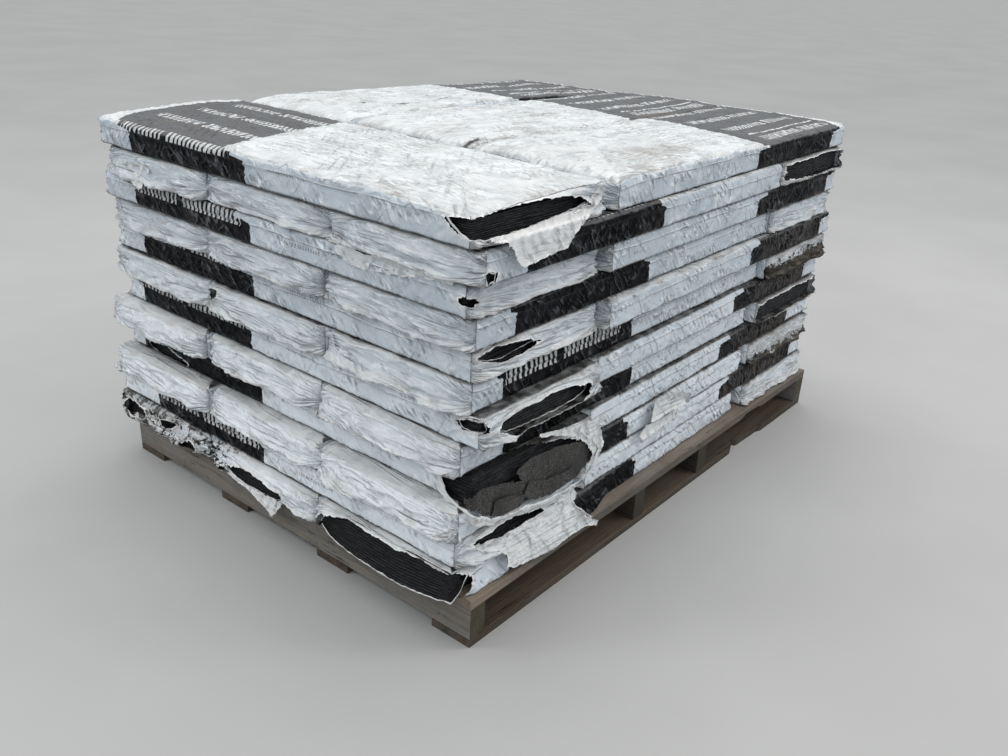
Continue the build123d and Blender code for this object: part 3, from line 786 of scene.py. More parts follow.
    # outward plan normal, smooth in the corner squares
    nxv, nyv = np.zeros_like(x), np.zeros_like(x)
    incorner = (np.abs(vx) > 1e-9) & (np.abs(vy) > 1e-9)
    ln = np.maximum(l2, 1e-9)
    nxv = np.where(incorner, vx / ln, 0)
    nyv = np.where(incorner, vy / ln, 0)
    flat = ~incorner
    mn = np.minimum(np.minimum(dW, dE), np.minimum(dS, dN))
    nxv = np.where(flat & (mn == dW) & (dW <= dS) & (dW <= dN), -1, nxv)
    nxv = np.where(flat & (mn == dE) & (dE < dW) & (dE <= dS) & (dE <= dN), 1, nxv)
    nyv = np.where(flat & (nxv == 0) & (mn == dS), -1, nyv)
    nyv = np.where(flat & (nxv == 0) & (nyv == 0), 1, nyv)
    nl = np.maximum(np.hypot(nxv, nyv), 1e-9)
    nxv, nyv = nxv / nl, nyv / nl
    wW, wE, wS, wN = (np.maximum(0, -nxv) ** 2, np.maximum(0, nxv) ** 2, np.maximum(0, -nyv) ** 2, np.maximum(0, nyv) ** 2)

    # upper and lower edge rounding
    rt = 11.0 if top1 else 8.5
    rb = 8.0
    ez = np.minimum(e, 60.0)
    at = np.where(on_top, 0.5 + 0.5 * np.minimum(ez / rt, 1.0), 0.5 * np.clip((rt - (H - z)) / rt, 0, 1))
    ab = np.where(on_bot, 0.5 + 0.5 * np.minimum(ez / rb, 1.0), 0.5 * np.clip((rb - z) / rb, 0, 1))
    ang_t, ang_b = at * math.pi / 2 * 2 * 0.5 * 2, ab * math.pi / 2 * 2 * 0.5 * 2
    ang_t, ang_b = np.clip(at, 0, 1) * math.pi / 2, np.clip(ab, 0, 1) * math.pi / 2
    inw_t = rt * (1 - np.cos(ang_t))
    inw_b = rb * (1 - np.cos(ang_b))
    drop_t = np.where(at > 0, rt * (1 - np.sin(ang_t)), 0)
    lift_b = np.where(ab > 0, rb * (1 - np.sin(ang_b)), 0)
    zpos = z.copy()
    zpos = np.where((at > 0) & (~on_top), H - drop_t, zpos)
    zpos = np.where(on_top, H - np.where(ez < rt, drop_t, 0), zpos)
    zpos = np.where((ab > 0) & (~on_bot), lift_b, zpos)
    zpos = np.where(on_bot, np.where(ez < rb, lift_b, 0), zpos)
    inw = np.where(on_top, np.where(ez < rt, inw_t, ez), np.where(on_bot, np.where(ez < rb, inw_b, ez), 0))
    inw = np.where((~on_top) & (at > 0), inw_t, inw)
    inw = np.where((~on_bot) & (ab > 0) & (~on_top), inw_b, inw)
    eplan = np.where(on_top | on_bot, ez, 0)
    bxp = px_ + nxv * (eplan - inw)
    byp = py_ + nyv * (eplan - inw)
    side_w = np.where(on_top | on_bot, np.cos(np.where(on_top, ang_t, ang_b)), np.minimum(np.cos(ang_t), np.cos(ang_b)))
    side_w = np.where((on_top & (ez >= rt)) | (on_bot & (ez >= rb)), 0, side_w)
    side_w = np.clip(side_w, 0, 1)
    top_w = np.where(on_top, np.sin(ang_t), np.where(at > 0, np.sin(ang_t) * 0.8, 0))

    # how far the layer below stands out beyond this one, per face
    if k < 12:
        a, b = places(k), places(k + 1)
        lowW = min(p[0] for p in b)
        lowS = min(p[1] for p in b)
        nbW, nbS = x0 - lowW, y0 - lowS
    else:
        nbW, nbS = x0 - 0.0, y0 - 0.0

    # displacement of long sides: a taut wall with leaning creases
    def d_side(ss, zz, sdv, lean):
        warp = 8 * gn(ss / 38, zz / 30, sdv + 1)
        q = ss + lean * zz + warp
        m1 = smooth(0.5 + 0.5 * gn(ss / 85, zz / 45, sdv + 2), 0.35, 0.7)
        n1 = gn(q / 17, zz / 70, sdv + 3)
        m2 = smooth(0.5 + 0.5 * gn(ss / 60 + 9, zz / 40, sdv + 5), 0.42, 0.75)
        q2 = ss - 1.5 * lean * zz + 10 * gn(ss / 50, zz / 25, sdv + 6)
        n2 = gn(q2 / 22, zz / 80, sdv + 7)
        d = 0.8 * np.sin(np.pi * np.clip(zz / H, 0, 1)) + 1.8 * gn(ss / 130, zz / 80, sdv + 8)
        d += 1.0 * gn((ss + 0.6 * lean * zz) / 34, zz / 38, sdv + 9) + 3.0 * ridge(n1, 0.24) * m1 + 2.3 * ridge(n2, 0.20) * m2
        d += 0.15 * gn(ss / 12, zz / 9, sdv + 10)
        # cav marks the crease valleys and the line under the seam fold for painted shade
        cav = np.maximum(ridge(n1 - 0.30, 0.10) * m1, ridge(n2 - 0.26, 0.09) * m2)
        hs = H * 0.70 + 3.0 * gn(ss / 170, 0.5, sdv + 11)
        d += 1.6 * np.exp(-((zz - hs) / 2.2) ** 2) - 1.6 * np.exp(-((zz - hs + 5) / 2.6) ** 2)
        cav = np.maximum(cav * 0.6, 0.9 * np.exp(-((zz - hs + 4.2) / 2.0) ** 2) * smooth(gn(ss / 60, 0.2, sdv + 12), -0.4, 0.3))
        return d, cav

    # displacement of short ends: a slack bag whose folds gather at the corners
    def d_end(ss, zz, W, sdv, bulge, lip):
        c1, c2 = ss, W - ss
        c = np.maximum(np.minimum(c1, c2), 0)
        u = np.clip(ss / W, 0, 1)
        edge = 1 - np.exp(-c / 26)
        prof = np.sin(np.pi * np.clip((zz + 4) / (H + 8), 0, 1)) ** 0.6
        d = bulge * edge * prof * (0.8 + 0.5 * gn(ss / 110, zz / 60, sdv))
        # cav marks the fold valleys, the line under the folded-over flap and a line above the rim for painted shade
        cav = np.zeros_like(ss)
        # folds converge towards both corners
        env = 0.20 + 0.80 * np.sin(np.pi * u) ** 0.55
        tilt = 7.0 * math.sin(sdv * 1.3)
        tau = (zz - H * (0.46 + 0.1 * math.sin(sdv)) - tilt * (u - 0.5) * 2) / (H * env)
        wv = 0.16 * gn(ss / 60, zz / 22, sdv + 31)
        lowm = 0.22 + 0.78 * smooth(H * 0.62 - zz, 0, H * 0.42)
        nearc = np.exp(-c / 55)
        for sc_, amp, w_, mo, up_ in ((1.5, 6.5, 0.17, 0.15, 0.6), (3.2, 4.4, 0.17, 0.25, 0.15), (6.5, 1.8, 0.2, 0.2, 0.1)):
            n = gn(ss / (230 / (1 + 0.2 * sc_)) + sc_, (tau + wv) * sc_, sdv + 33 + int(sc_ * 10))
            mk = smooth(0.5 + 0.5 * gn(ss / 90, zz / 40, sdv + 32 + int(sc_)), mo, mo + 0.5)
            mk = mk * np.maximum(np.maximum(lowm, up_), nearc * 0.8)
            d += 1.3 * amp * ridge(n, w_) * mk
            cav = np.maximum(cav, ridge(n - w_ * 1.5, w_ * 0.6) * mk * min(1.0, amp / 3.0))
        # short crinkles where the rim is gathered
        cr_ = ridge(gn((ss + 5 * gn(ss / 30, zz / 12, sdv + 44)) / 12.0, zz / 40, sdv + 43), 0.2)
        d += 2.2 * cr_ * np.exp(-(np.maximum(zz - 5, 0) / 12) ** 2) * smooth(gn(ss / 55, 0.4, sdv + 45), -0.45, 0.1)
        # fan creases in the corners
        for n_, cc in enumerate((c1, c2)):
            zc = H * (0.40 + 0.2 * math.sin(sdv + n_ * 2))
            ang = np.arctan2(zz - zc, cc + 9)
            rad = np.hypot(zz - zc, cc + 9)
            n = gn(ang * 3.4 + 5 * n_, rad / 90, sdv + 21 + n_)
            fall = np.exp(-np.maximum(cc, 0) / 60) * smooth(rad, 6, 18)
            d += 6.0 * ridge(n, 0.18) * fall
            cav = np.maximum(cav, ridge(n - 0.24, 0.12) * fall * 1.2)
            n = gn(ang * 7.5 + 5 * n_, rad / 60, sdv + 27 + n_)
            d += 1.8 * ridge(n, 0.2) * fall
        # the folded-over flap leaves a step across the end
        zl = H * (0.52 + 0.16 * math.sin(sdv * 2.1)) + 16 * (u - 0.5) * math.cos(sdv * 1.7) + 4 * gn(ss / 50, 0.2, sdv + 41)
        stp = smooth(zl - zz, -1.5, 2.0) * smooth(c, 8, 50)
        d += 4.0 * stp
        cav = np.maximum(cav, 0.9 * np.exp(-((zz - zl - 2.0) / 1.8) ** 2) * smooth(c, 8, 50) * smooth(gn(ss / 70, 0.9, sdv + 42), -0.5, 0.2))
        d += 1.6 * gn(ss / 40, zz / 20, sdv + 35) + 0.4 * gn(ss / 12, zz / 9, sdv + 36)
        rim = np.exp(-((zz - 4) / 6.5) ** 2)
        d += (lip * (0.65 + 0.7 * gn(ss / 60, 0.3, sdv + 37)) + 3.0 * np.abs(gn(ss / 14, 0.8, sdv + 38))) * rim
        cav = np.maximum(cav, 0.8 * np.exp(-((zz - 15) / 3.0) ** 2) * smooth(gn(ss / 45, 0.6, sdv + 39), -0.2, 0.4))
        return d, cav

    zc_ = np.clip(zpos, 0, H)
    lean = 0.9 * (1 if (k + i) % 2 else -1) + 0.3 * math.sin(seed)
    par = ENDS.get((k, i), {})
    bulge, lip, sag = par.get("bulge", 8.0) * 1.1, par.get("lip", 6.0) * 1.25, par.get("sag", 7.0) * 1.35
    out = np.zeros_like(x)
    dz = np.zeros_like(x)
    cavity = np.zeros_like(x)
    seam = np.full_like(x, 90.0)
    for fc, w in (("W", wW), ("S", wS), ("E", wE), ("N", wN)):
        run = {"W": y, "S": x, "E": y, "N": x}[fc]
        W_ = Ly if fc in "WE" else Lx
        if kind[fc] == "side":
            d, cv = d_side(run + {"W": 0, "S": 0, "E": 400, "N": 900}[fc], zc_, seed + 7 * "WSEN".index(fc), lean)
            seam = np.where(w > 0.5, z - (H * 0.70 + 3.0 * gn((run + {"W": 0, "S": 0, "E": 400, "N": 900}[fc]) / 170, 0.5, seed + 7 * "WSEN".index(fc) + 11)), seam)
            sg = 2.0 + 1.5 * gn(run / 60, 0.2, seed + 51)
            tp = -0.8 + 1.5 * gn(run / 120, 0.7, seed + 52)
        else:
            d, cv = d_end(run, zc_, W_, seed + 11 * "WSEN".index(fc) + 3, bulge if E[fc] > HID else 3.0, lip)
            nb = {"W": nbW, "S": nbS}.get(fc, 0)
            sg = (sag if nb < 9 else 2.0) * (0.6 + 0.6 * gn(run / 70, 0.2, seed + 53) + 0.5 * np.abs(gn(run / 15, 0.2, seed + 56))) * (1 - np.exp(-np.minimum(run, W_ - run).clip(0) / 25))
            # a drooping lip hangs clear of the layer below
            d += np.where(zc_ < 12, np.clip(nb + 1.0, 0, 9) * np.exp(-zc_ / 7), 0)
            tp = -2.0 + 2.2 * gn(run / 90, 0.7, seed + 54)
        out += w * d
        cavity = np.maximum(cavity, w * cv)
        low = np.exp(-zc_ / 8.0) * np.where(on_bot, np.exp(-(ez / 5.0) ** 2), 1)
        dz += w * (-np.abs(sg) * low)
        if not top1:
            dz += w * tp * smooth(zc_, H * 0.5, H) * np.where(on_top, np.exp(-ez / 14), 1)
        else:
            dz += w * (1.2 * gn(run / 110, 0.4, seed + 55) - 0.4) * smooth(zc_, H * 0.5, H) * np.where(on_top, np.exp(-ez / 40), 1)
    out = out * side_w

    # tear edges lift a little
    if tears:
        out += np.where(sd < 40, 3.2 * np.exp(-np.maximum(sd, 0) / 7.0), 0) * np.clip(side_w + 0.2, 0, 1)

    xw, yw = x0 + bxp + nxv * out, y0 + byp + nyv * out
    zw = z0 + zpos + dz

    # the load's top
    tz = np.zeros_like(x)
    # cav_t marks wrinkle valleys on the top and a line beside the raised strip, for painted shade
    cav_t = np.zeros_like(x)
    if top1:
        gx_, gy_ = x0 + x, y0 + y
        ln_s = (gx_ if lengthwise else gy_)
        cr_s = (gy_ if lengthwise else gx_)
        tz += 2.2 * gn(gx_ / 210, gy_ / 190, 901) + 1.5 * gn(gx_ / 80, gy_ / 70, 902)
        wv = cr_s + 14 * gn(ln_s / 120, cr_s / 60, 903)
        mm = smooth(0.5 + 0.5 * gn(gx_ / 140, gy_ / 110, 904), 0.35, 0.75)
        n_ = gn(ln_s / 160, wv / 19, 905)
        tz += 2.4 * ridge(n_, 0.16) * mm
        cav_t = np.maximum(cav_t, 0.7 * ridge(n_ - 0.24, 0.1) * mm)
        tz += 0.8 * gn(ln_s / 80, wv / 16, 906) + 0.3 * gn(gx_ / 14, gy_ / 13, 907)
        q = gx_ + 0.8 * gy_ + 20 * gn(gx_ / 70, gy_ / 70, 908)
        n_ = gn(q / 26, (gx_ - gy_) / 150, 909)
        tz += 1.8 * ridge(n_, 0.15) * (1 - mm)
        cav_t = np.maximum(cav_t, 0.6 * ridge(n_ - 0.22, 0.09) * (1 - mm))
        cr = np.minimum(cr_s - (y0 if lengthwise else x0), (y0 + Ly if lengthwise else x0 + Lx) - cr_s)
        tz += 3.5 * (1 - np.exp(-cr / 45)) - 3.0
        ax_, ay_, bx_, by_ = 458.0 + LX, 392.0 + LY, 634.0 + LX, 323.0 + LY
        tt_ = np.clip(((gx_ - ax_) * (bx_ - ax_) + (gy_ - ay_) * (by_ - ay_)) / ((bx_ - ax_) ** 2 + (by_ - ay_) ** 2), 0, 1)
        strip_ = np.hypot(gx_ - ax_ - tt_ * (bx_ - ax_), gy_ - ay_ - tt_ * (by_ - ay_))
        tz += 2.6 * (1 - smooth(strip_, 4, 9))
        cav_t = np.maximum(cav_t, np.exp(-((strip_ - 10) / 3.0) ** 2))
        zw += tz * top_w
        lift = crown(gx_, gy_)
        if i == 3:
            lift = lift + 8.0 * np.exp(-y / 90) * smooth(x, 250, 450) * (1 - smooth(x, 700, 900))
        if lengthwise:
            # the ends next to the crosswise bundle slope down into the gap
            lift = lift - 10.0 * np.exp(-x / 18)
        zw += lift * np.where(on_top, 1.0, (zc_ / H) ** 1.5 * (1 - on_bot))
        if i == 0:
            # the near corner droops where the wrapper is open
            u1 = np.exp(-((x - 10) / 120) ** 2) * np.exp(-(y / 70) ** 2)
            zw -= 3.0 * u1 * smooth(zc_, 20, H)
    # special shapes
    xw, yw, zw = reshape(k, i, x, y, z, s, e, on_top, xw, yw, zw)

    # ---- attributes
    v_top = np.where(on_top, ez if not top1 else e, 0.0)
    B = BANDS.get((k, i))
    run_len = x if lengthwise else y
    Lb = Lx if lengthwise else Ly
    if B is None:
        B = ("hi", 80, 470, -20.0)
    endside, b0, b1, vc = B
    u = (Lb - run_len) if endside == "hi" else run_len
    if top1:
        v = np.where(on_top, (x if not lengthwise else y), -(H - z))
        if lengthwise:
            v = np.where(on_top, y, -(H - z))
            v = np.where((dS <= np.minimum(dE, dW)) | on_top, v, -(H - z))
    else:
        v = np.where(on_top, e, -(H - z))
    shift_band = 44.0 * smooth(np.where(on_top, 60.0, z), H * 0.76, H * 0.80)
    if k % 2 == 0:
        shift_band = shift_band * 0.35
    lo_, hi_ = b0 - shift_band, b1 - shift_band
    jag = 1.5 * gn(v / 9, u / 40, seed + 70)
    bx = np.minimum(u - lo_ + jag, hi_ - u + jag)
    if top1:
        if not lengthwise:
            bx = np.minimum(u - 32 - 38 * np.exp(-np.maximum(v, 0) / 26), (405 - 0.11 * v + 3 * gn(v / 45, 0.4, 915)) - u)
            bx = np.where(on_top, bx, np.minimum(u - lo_, hi_ - u))
            bx = np.where(on_top & (e < 8), np.minimum(u - 70, 415 - u), bx)
        else:
            bx = np.where(on_top, np.minimum(u - 15 - (28 * np.exp(-np.maximum(v, 0) / 70) if i == 1 else 0), (448 - 0.14 * v + 6 * gn(v / 52, 0.4, 916 + i) + 3 * gn(v / 14, 0.9, 920 + i)) - u), bx)
    # short ends carry no print
    endzone = (wW + wE if lengthwise else wS + wN) > 0.5
    bx = np.where(endzone & ~on_top, -30.0, bx)
    if (k, i) == (12, 2):
        # the torn end shows as much black as white
        sh = endzone & (x < 40)
        bx = np.where(sh, 1.5 * gn(s / 26, z / 13, 771) + 1.4 * gn(s / 9, z / 7, 772) + 0.5 * smooth(-s, 60, 200) - 0.45, bx)
    if (k, i) == (12, 1):
        sh = endzone & (x < 40)
        bx = np.where(sh, 1.3 * gn(s / 22, z / 10, 773) + 1.2 * gn(s / 9, z / 7, 774) - 3.2 * smooth(s, -336, -180) + 0.3, bx)
    if (k, i) in ((6, 3), (10, 3)):
        # worn through below the rim
        bx = np.where(endzone & ~on_top & (dS < 40), (H * (0.62 if k == 6 else 0.35) - z) / 9 + 1.5 * gn(s / 24, z / 12, 775 + k) + 0.8 * gn(s / 9, z / 7, 776), bx)
    if par.get("plain"):
        bx = np.full_like(bx, -40.0)
    lab = np.stack([bx, u - b0 + (40.0 if top1 else 0.0), v - vc], 1)
    if k == 12 and i in (1, 2):
        lab[:, 1] = np.where(endzone & (x < 40), -200.0, lab[:, 1])
    if top1 and lengthwise:
        # the same print, read from its other edge
        lab[:, 2] = np.where(on_top, 403.0 - v, 410.0)
    girth = np.where(on_top, H + e, np.where(on_bot, -e, z))
    if top1:
        girth = np.where(on_top, H + (y if lengthwise else x), girth)
    # on the slack ends the folds run together into both corners
    ue = np.clip((y / Ly if lengthwise else x / Lx), 0, 1)
    leaf = 0.20 + 0.80 * np.sin(np.pi * ue) ** 0.55
    g_end = H * 0.45 + (z - H * 0.45 - 6.0 * math.sin(seed * 1.3) * (ue - 0.5)) / leaf
    girth = np.where(endzone & ~on_top & ~on_bot, g_end, girth)
    s_ = np.where(on_top, x if lengthwise else -y, s) if top1 else s
    st = np.stack([s_, girth, np.full_like(s, (seed % 97) / 97.0)], 1)
    dirt_and_shade = 0.10 + 0.16 * gn(s / 90, girth / 40, seed + 80)
    # painted shade: the mask is raised along the bottom of each wall, where it sits on the layer below
    dirt_and_shade += 0.55 * np.exp(-zc_ / 4.5) * (~on_top) * (0.5 + 0.5 * gn(s / 45, 0.1, seed + 81)) * (kind["W"] != "x")
    isend = np.where(endzone, 1.0, 0.0)
    # painted shade: recessed parts of the slack ends raise the mask
    crev = np.clip((1.6 - out) / 4.0, 0, 1) * side_w
    dirt_and_shade += 0.22 * crev * isend
    dirt_and_shade += 0.75 * smooth(zc_, H - 10, H - 1) * (0.45 + 0.65 * gn(s / 38, 0.6, seed + 84)) * (s > 0) * (0.0 if top1 else 1.0)
    dirt_and_shade += np.where(bool(tears), 0.35 * np.exp(-np.maximum(sd, 0) / 9.0), 0)
    if top1:
        gx_, gy_ = x0 + x - LX, y0 + y - LY
        dirt_t = 0.24 + 0.22 * gn(gx_ / 170, gy_ / 120, 801) + 0.20 * gn(gx_ / 50, gy_ / 40, 802)
        stv = gn((gy_ if lengthwise else gx_) / 7 + 2.0 * gn(gx_ / 90, gy_ / 90, 806), (gx_ if lengthwise else gy_) / 90, 805)
        dirt_t += 0.45 * ridge(stv, 0.16) * smooth(gn(gx_ / 90, gy_ / 70, 807), -0.1, 0.4)
        dirt_t += 0.45 * np.exp(-e / 14) * (0.5 + 0.5 * gn(gx_ / 60, gy_ / 60, 803))
        for (cx, cy, rx_, ry_, am) in TOPDIRT:
            dirt_t += am * np.exp(-(((gx_ - cx) / rx_) ** 2 + ((gy_ - cy) / ry_) ** 2))
        dirt_and_shade = np.where(on_top, dirt_t, dirt_and_shade)
    smear = np.zeros_like(s)
    for (kk, ii, s_lo, s_hi, am) in SMEARS:
        if (kk, ii) == (k, i):
            smear += am * smooth(s, s_lo - 8, s_lo + 8) * (1 - smooth(s, s_hi - 8, s_hi + 8)) * (dS < 1)
    for (kk, ii, s_lo, s_hi, am) in DIRTS:
        if (kk, ii) == (k, i):
            dirt_and_shade += am * smooth(s, s_lo - 12, s_lo + 12) * (1 - smooth(s, s_hi - 12, s_hi + 12))
    scuff = np.where(bool(tears), np.exp(-np.maximum(sd, 0) / 6.0), 0)
    scuff = scuff + isend * 0.16 * smooth(gn(s / 80, girth / 40, seed + 83), 0.0, 0.5) + isend * 0.12
    scuff = scuff + isend * 0.7 * np.exp(-((zc_ - 3) / 6) ** 2)
    msk = np.stack([np.clip(dirt_and_shade, 0, 1), np.clip(smear, 0, 1), np.clip(scuff, 0, 1)], 1)
    # painted shade: how dark the crevices between layers are, also under the ledge of the layer above
    crevice = np.where(endzone, smooth(np.where(on_bot, 9.0, inw), 1.0, 5.0), smooth(np.where(on_bot, 9.0, inw), 0.15, 1.9)) * np.where(on_top | (z > H / 2), 0.0, 1.0)
    if not top1:
        up_ = places(k - 1)
        led = np.where(dS <= dW, min(p[1] for p in up_) - y0, min(p[0] for p in up_) - x0)
        led = np.where((dS < 60) | (dW < 60), np.clip(led - 2.0, 0, 30), 0.0)
        crevice = np.maximum(crevice, 0.95 * smooth(inw, 1.6 + led, 4.6 + led) * np.where(on_top | (z > H / 2), 1.0, 0.0))
    if top1:
        cavity = np.maximum(cavity * side_w, cav_t * top_w)
        for (cx, cy, rx_, ry_) in TOPHOLES:
            q_ = np.hypot((x0 + x - LX - cx) / rx_, (y0 + y - LY - cy) / ry_) + 0.25 * gn(x / 9, y / 9, 812)
            crevice = np.maximum(crevice, (1 - smooth(q_, 0.75, 1.1)) * on_top)
    aux = np.stack([np.clip(crevice, 0, 1), np.clip(cavity, 0, 1), isend], 1)
    if (k, i) == (1, 0):
        seam = np.where(seam < 80, z - (H - 12.0 - 5.0 * smooth(-s, 40, 400) + 2.0 * gn(s / 90, 0.3, 77)), seam)
    seam = np.where(on_top | on_bot, 90.0, seam)
    bag.add(np.stack([xw, yw, zw], 1), Q, lab, st, msk, aux, fin=np.stack([seam, np.where(sd < 900, np.clip(sd, -5, 60), 60.0), np.zeros_like(s)], 1))


# printed band of each bundle: which end it is at, where it starts and stops
# from that end, and how high its row of bars sits
BANDS = {
    (1, 0): ("hi", 114, 479, -2.0), (3, 0): ("hi", 110, 483, -12.0), (5, 0): ("hi", 99, 462, 2.0), (7, 0): ("hi", 56, 429, -4.0),
    (9, 0): ("hi", 43, 455, 19.0), (11, 0): ("hi", 137, 499, -14.0),
    (1, 1): ("hi", 77, 470, 0.0), (3, 1): ("hi", 53, 436, 19.0), (5, 1): ("hi", 54, 446, 19.0), (7, 1): ("hi", 79, 459, 19.0),
    (9, 1): ("hi", 123, 486, 19.0), (11, 1): ("hi", 65, 455, 19.0),
    (2, 0): ("lo", 98, 501, 19.0), (4, 0): ("lo", 96, 494, 19.0), (6, 0): ("lo", 74, 465, -16.0), (8, 0): ("lo", 107, 507, 19.0),
    (10, 0): ("lo", 96, 506, 19.0), (12, 0): ("lo", 130, 567, 19.0),
    (1, 2): ("hi", 77, 470, 0.0), (1, 3): ("hi", 77, 470, 0.0),
    (2, 2): ("lo", 90, 480, -12.0), (4, 2): ("lo", 96, 486, 19.0), (6, 2): ("lo", 80, 470, -8.0), (8, 2): ("lo", 90, 490, -18.0),
    (10, 2): ("lo", 84, 474, -4.0), (12, 2): ("lo", 92, 482, 19.0),
    (3, 3): ("hi", 70, 455, -10.0), (5, 3): ("hi", 92, 470, 19.0), (7, 3): ("hi", 60, 450, -14.0), (9, 3): ("hi", 88, 480, 0.0),
    (11, 3): ("hi", 72, 462, 19.0),
    (2, 3): ("hi", 86, 476, -10.0), (4, 3): ("hi", 70, 460, 19.0), (6, 3): ("hi", 96, 488, -14.0), (8, 3): ("hi", 80, 470, 0.0),
    (10, 3): ("hi", 66, 455, -6.0), (12, 3): ("hi", 90, 480, 19.0),
}
# brown upright smears on the right face: (layer, bundle, from, to, strength)
SMEARS = [(5, 1, 620, 900, 0.9), (7, 1, 640, 930, 1.0), (9, 1, 590, 880, 1.0), (11, 1, 560, 900, 1.0), (3, 1, 700, 940, 0.15)]
DIRTS = [(2, 3, 0, 336, 0.30), (4, 3, 0, 336, 0.38), (6, 3, 0, 336, 0.62), (8, 3, 0, 336, 0.4), (10, 3, 0, 336, 0.62), (12, 3, 0, 336, 0.40), (4, 1, -336, 0, 0.28), (1, 1, 0, 260, 0.30), (9, 1, 0, 420, 0.18),
         (12, 2, -336, 0, 0.45), (7, 1, 0, 120, 0.22), (3, 0, -1002, -900, 0.25)]
# stains on the top, from the load's near corner: x, y, half sizes, strength
TOPDIRT = [(764, 477, 90, 60, 0.45), (649, 90, 120, 60, 0.4), (389, 353, 40, 22, 0.35), (600, 749, 30, 16, 0.4), (738, 754, 30, 16, 0.4),
           (420, 250, 120, 60, 0.15), (560, 360, 180, 40, 0.3), (700, 620, 160, 60, 0.28), (1000, 330, 90, 30, 0.35), (480, 880, 160, 50, 0.25)]
TOPHOLES = [(600, 749, 16, 7), (637, 743, 9, 6), (738, 754, 20, 8), (389, 353, 26, 7), (520, 800, 9, 5), (690, 735, 7, 5)]
ENDS = {
    (2, 0): dict(bulge=9, lip=6, sag=8), (2, 1): dict(bulge=11, lip=8, sag=12), (2, 2): dict(bulge=9, lip=7, sag=10),
    (4, 0): dict(bulge=10, lip=9, sag=9), (4, 1): dict(bulge=10, lip=6, sag=6), (4, 2): dict(bulge=12, lip=8, sag=8),
    (6, 0): dict(bulge=10, lip=9, sag=9), (6, 1): dict(bulge=13, lip=9, sag=8), (6, 2): dict(bulge=12, lip=7, sag=8),
    (8, 0): dict(bulge=14, lip=8, sag=7), (8, 1): dict(bulge=12, lip=8, sag=6), (8, 2): dict(bulge=18, lip=10, sag=8),
    (10, 0): dict(bulge=12, lip=9, sag=9), (10, 1): dict(bulge=10, lip=8, sag=6), (10, 2): dict(bulge=8, lip=9, sag=7),
    (12, 0): dict(bulge=5, lip=3, sag=0), (12, 1): dict(bulge=10, lip=5, sag=0), (12, 2): dict(bulge=9, lip=4, sag=0),
    (1, 0): dict(bulge=2, lip=1, sag=1), (9, 0): dict(bulge=2, lip=0, sag=0),
    (3, 0): dict(bulge=6, lip=4, sag=4), (5, 0): dict(bulge=6, lip=4, sag=4), (7, 0): dict(bulge=4, lip=5, sag=4),
    (2, 3): dict(bulge=4, lip=3, sag=2), (8, 3): dict(bulge=3, lip=2, sag=1), (4, 3): dict(bulge=5, lip=5, sag=3), (6, 3): dict(bulge=3, lip=8, sag=5),
    (10, 3): dict(bulge=3, lip=8, sag=4), (12, 3): dict(bulge=5, lip=5, sag=0),
}


def reshape(k, i, x, y, z, s, e, on_top, xw, yw, zw):
    """Special shapes of single wrappers."""
    if (k, i) == (12, 0):
        d = smooth(x, 0, 40) * (1 - smooth(x, 380, 480)) * np.exp(-np.maximum(y, 0) / 14.0)
        yw = yw - 20.0 * d * (1 - np.clip(z / H, 0, 1)) ** 0.9
    return xw, yw, zw


# ---------------------------------------------------------------- shingles
CORE_IN = 7.0


def box_quads(bag, lo, hi, msk=(0, 0, 0), r=2.0, step=60.0):
    """Plain block with slightly broken edges, for what the film hides."""
    lo, hi = np.array(lo, float), np.array(hi, float)
    ax = [np.array([lo[a], lo[a] + r, *np.linspace(lo[a] + r, hi[a] - r, max(2, int((hi[a] - lo[a]) / step)) + 1)[1:-1], hi[a] - r, hi[a]]) for a in range(3)]
    X, Y, Z = np.meshgrid(*ax, indexing="ij")
    I, J, K = np.meshgrid(*[np.arange(len(a)) for a in ax], indexing="ij")
    surf = (I == 0) | (I == len(ax[0]) - 1) | (J == 0) | (J == len(ax[1]) - 1) | (K == 0) | (K == len(ax[2]) - 1)
    ids = np.full(X.shape, -1, np.int64)
    ids[surf] = np.arange(surf.sum())
    V = np.stack([X[surf], Y[surf], Z[surf]], 1)
    q = np.clip(V, lo + r, hi - r)
    d = V - q
    l = np.linalg.norm(d, axis=1)
    linf = np.abs(d).max(1)
    V = q + d * (np.where(l > 0, linf / np.maximum(l, 1e-9), 1))[:, None]
    Q = []
    for idg, flip in ((ids[:, :, -1], False), (ids[:, :, 0], True), (ids[0], True), (ids[-1], False), (ids[:, 0, :], False), (ids[:, -1, :], True)):
        a, b, c, dd = idg[:-1, :-1], idg[1:, :-1], idg[1:, 1:], idg[:-1, 1:]
        qq = np.stack([a.ravel(), b.ravel(), c.ravel(), dd.ravel()], 1)
        Q.append(qq[:, ::-1] if flip else qq)
    bag.add(V, np.concatenate(Q), st=np.stack([V[:, 0], V[:, 2], V[:, 0] * 0], 1), msk=np.tile(msk, (len(V), 1)))


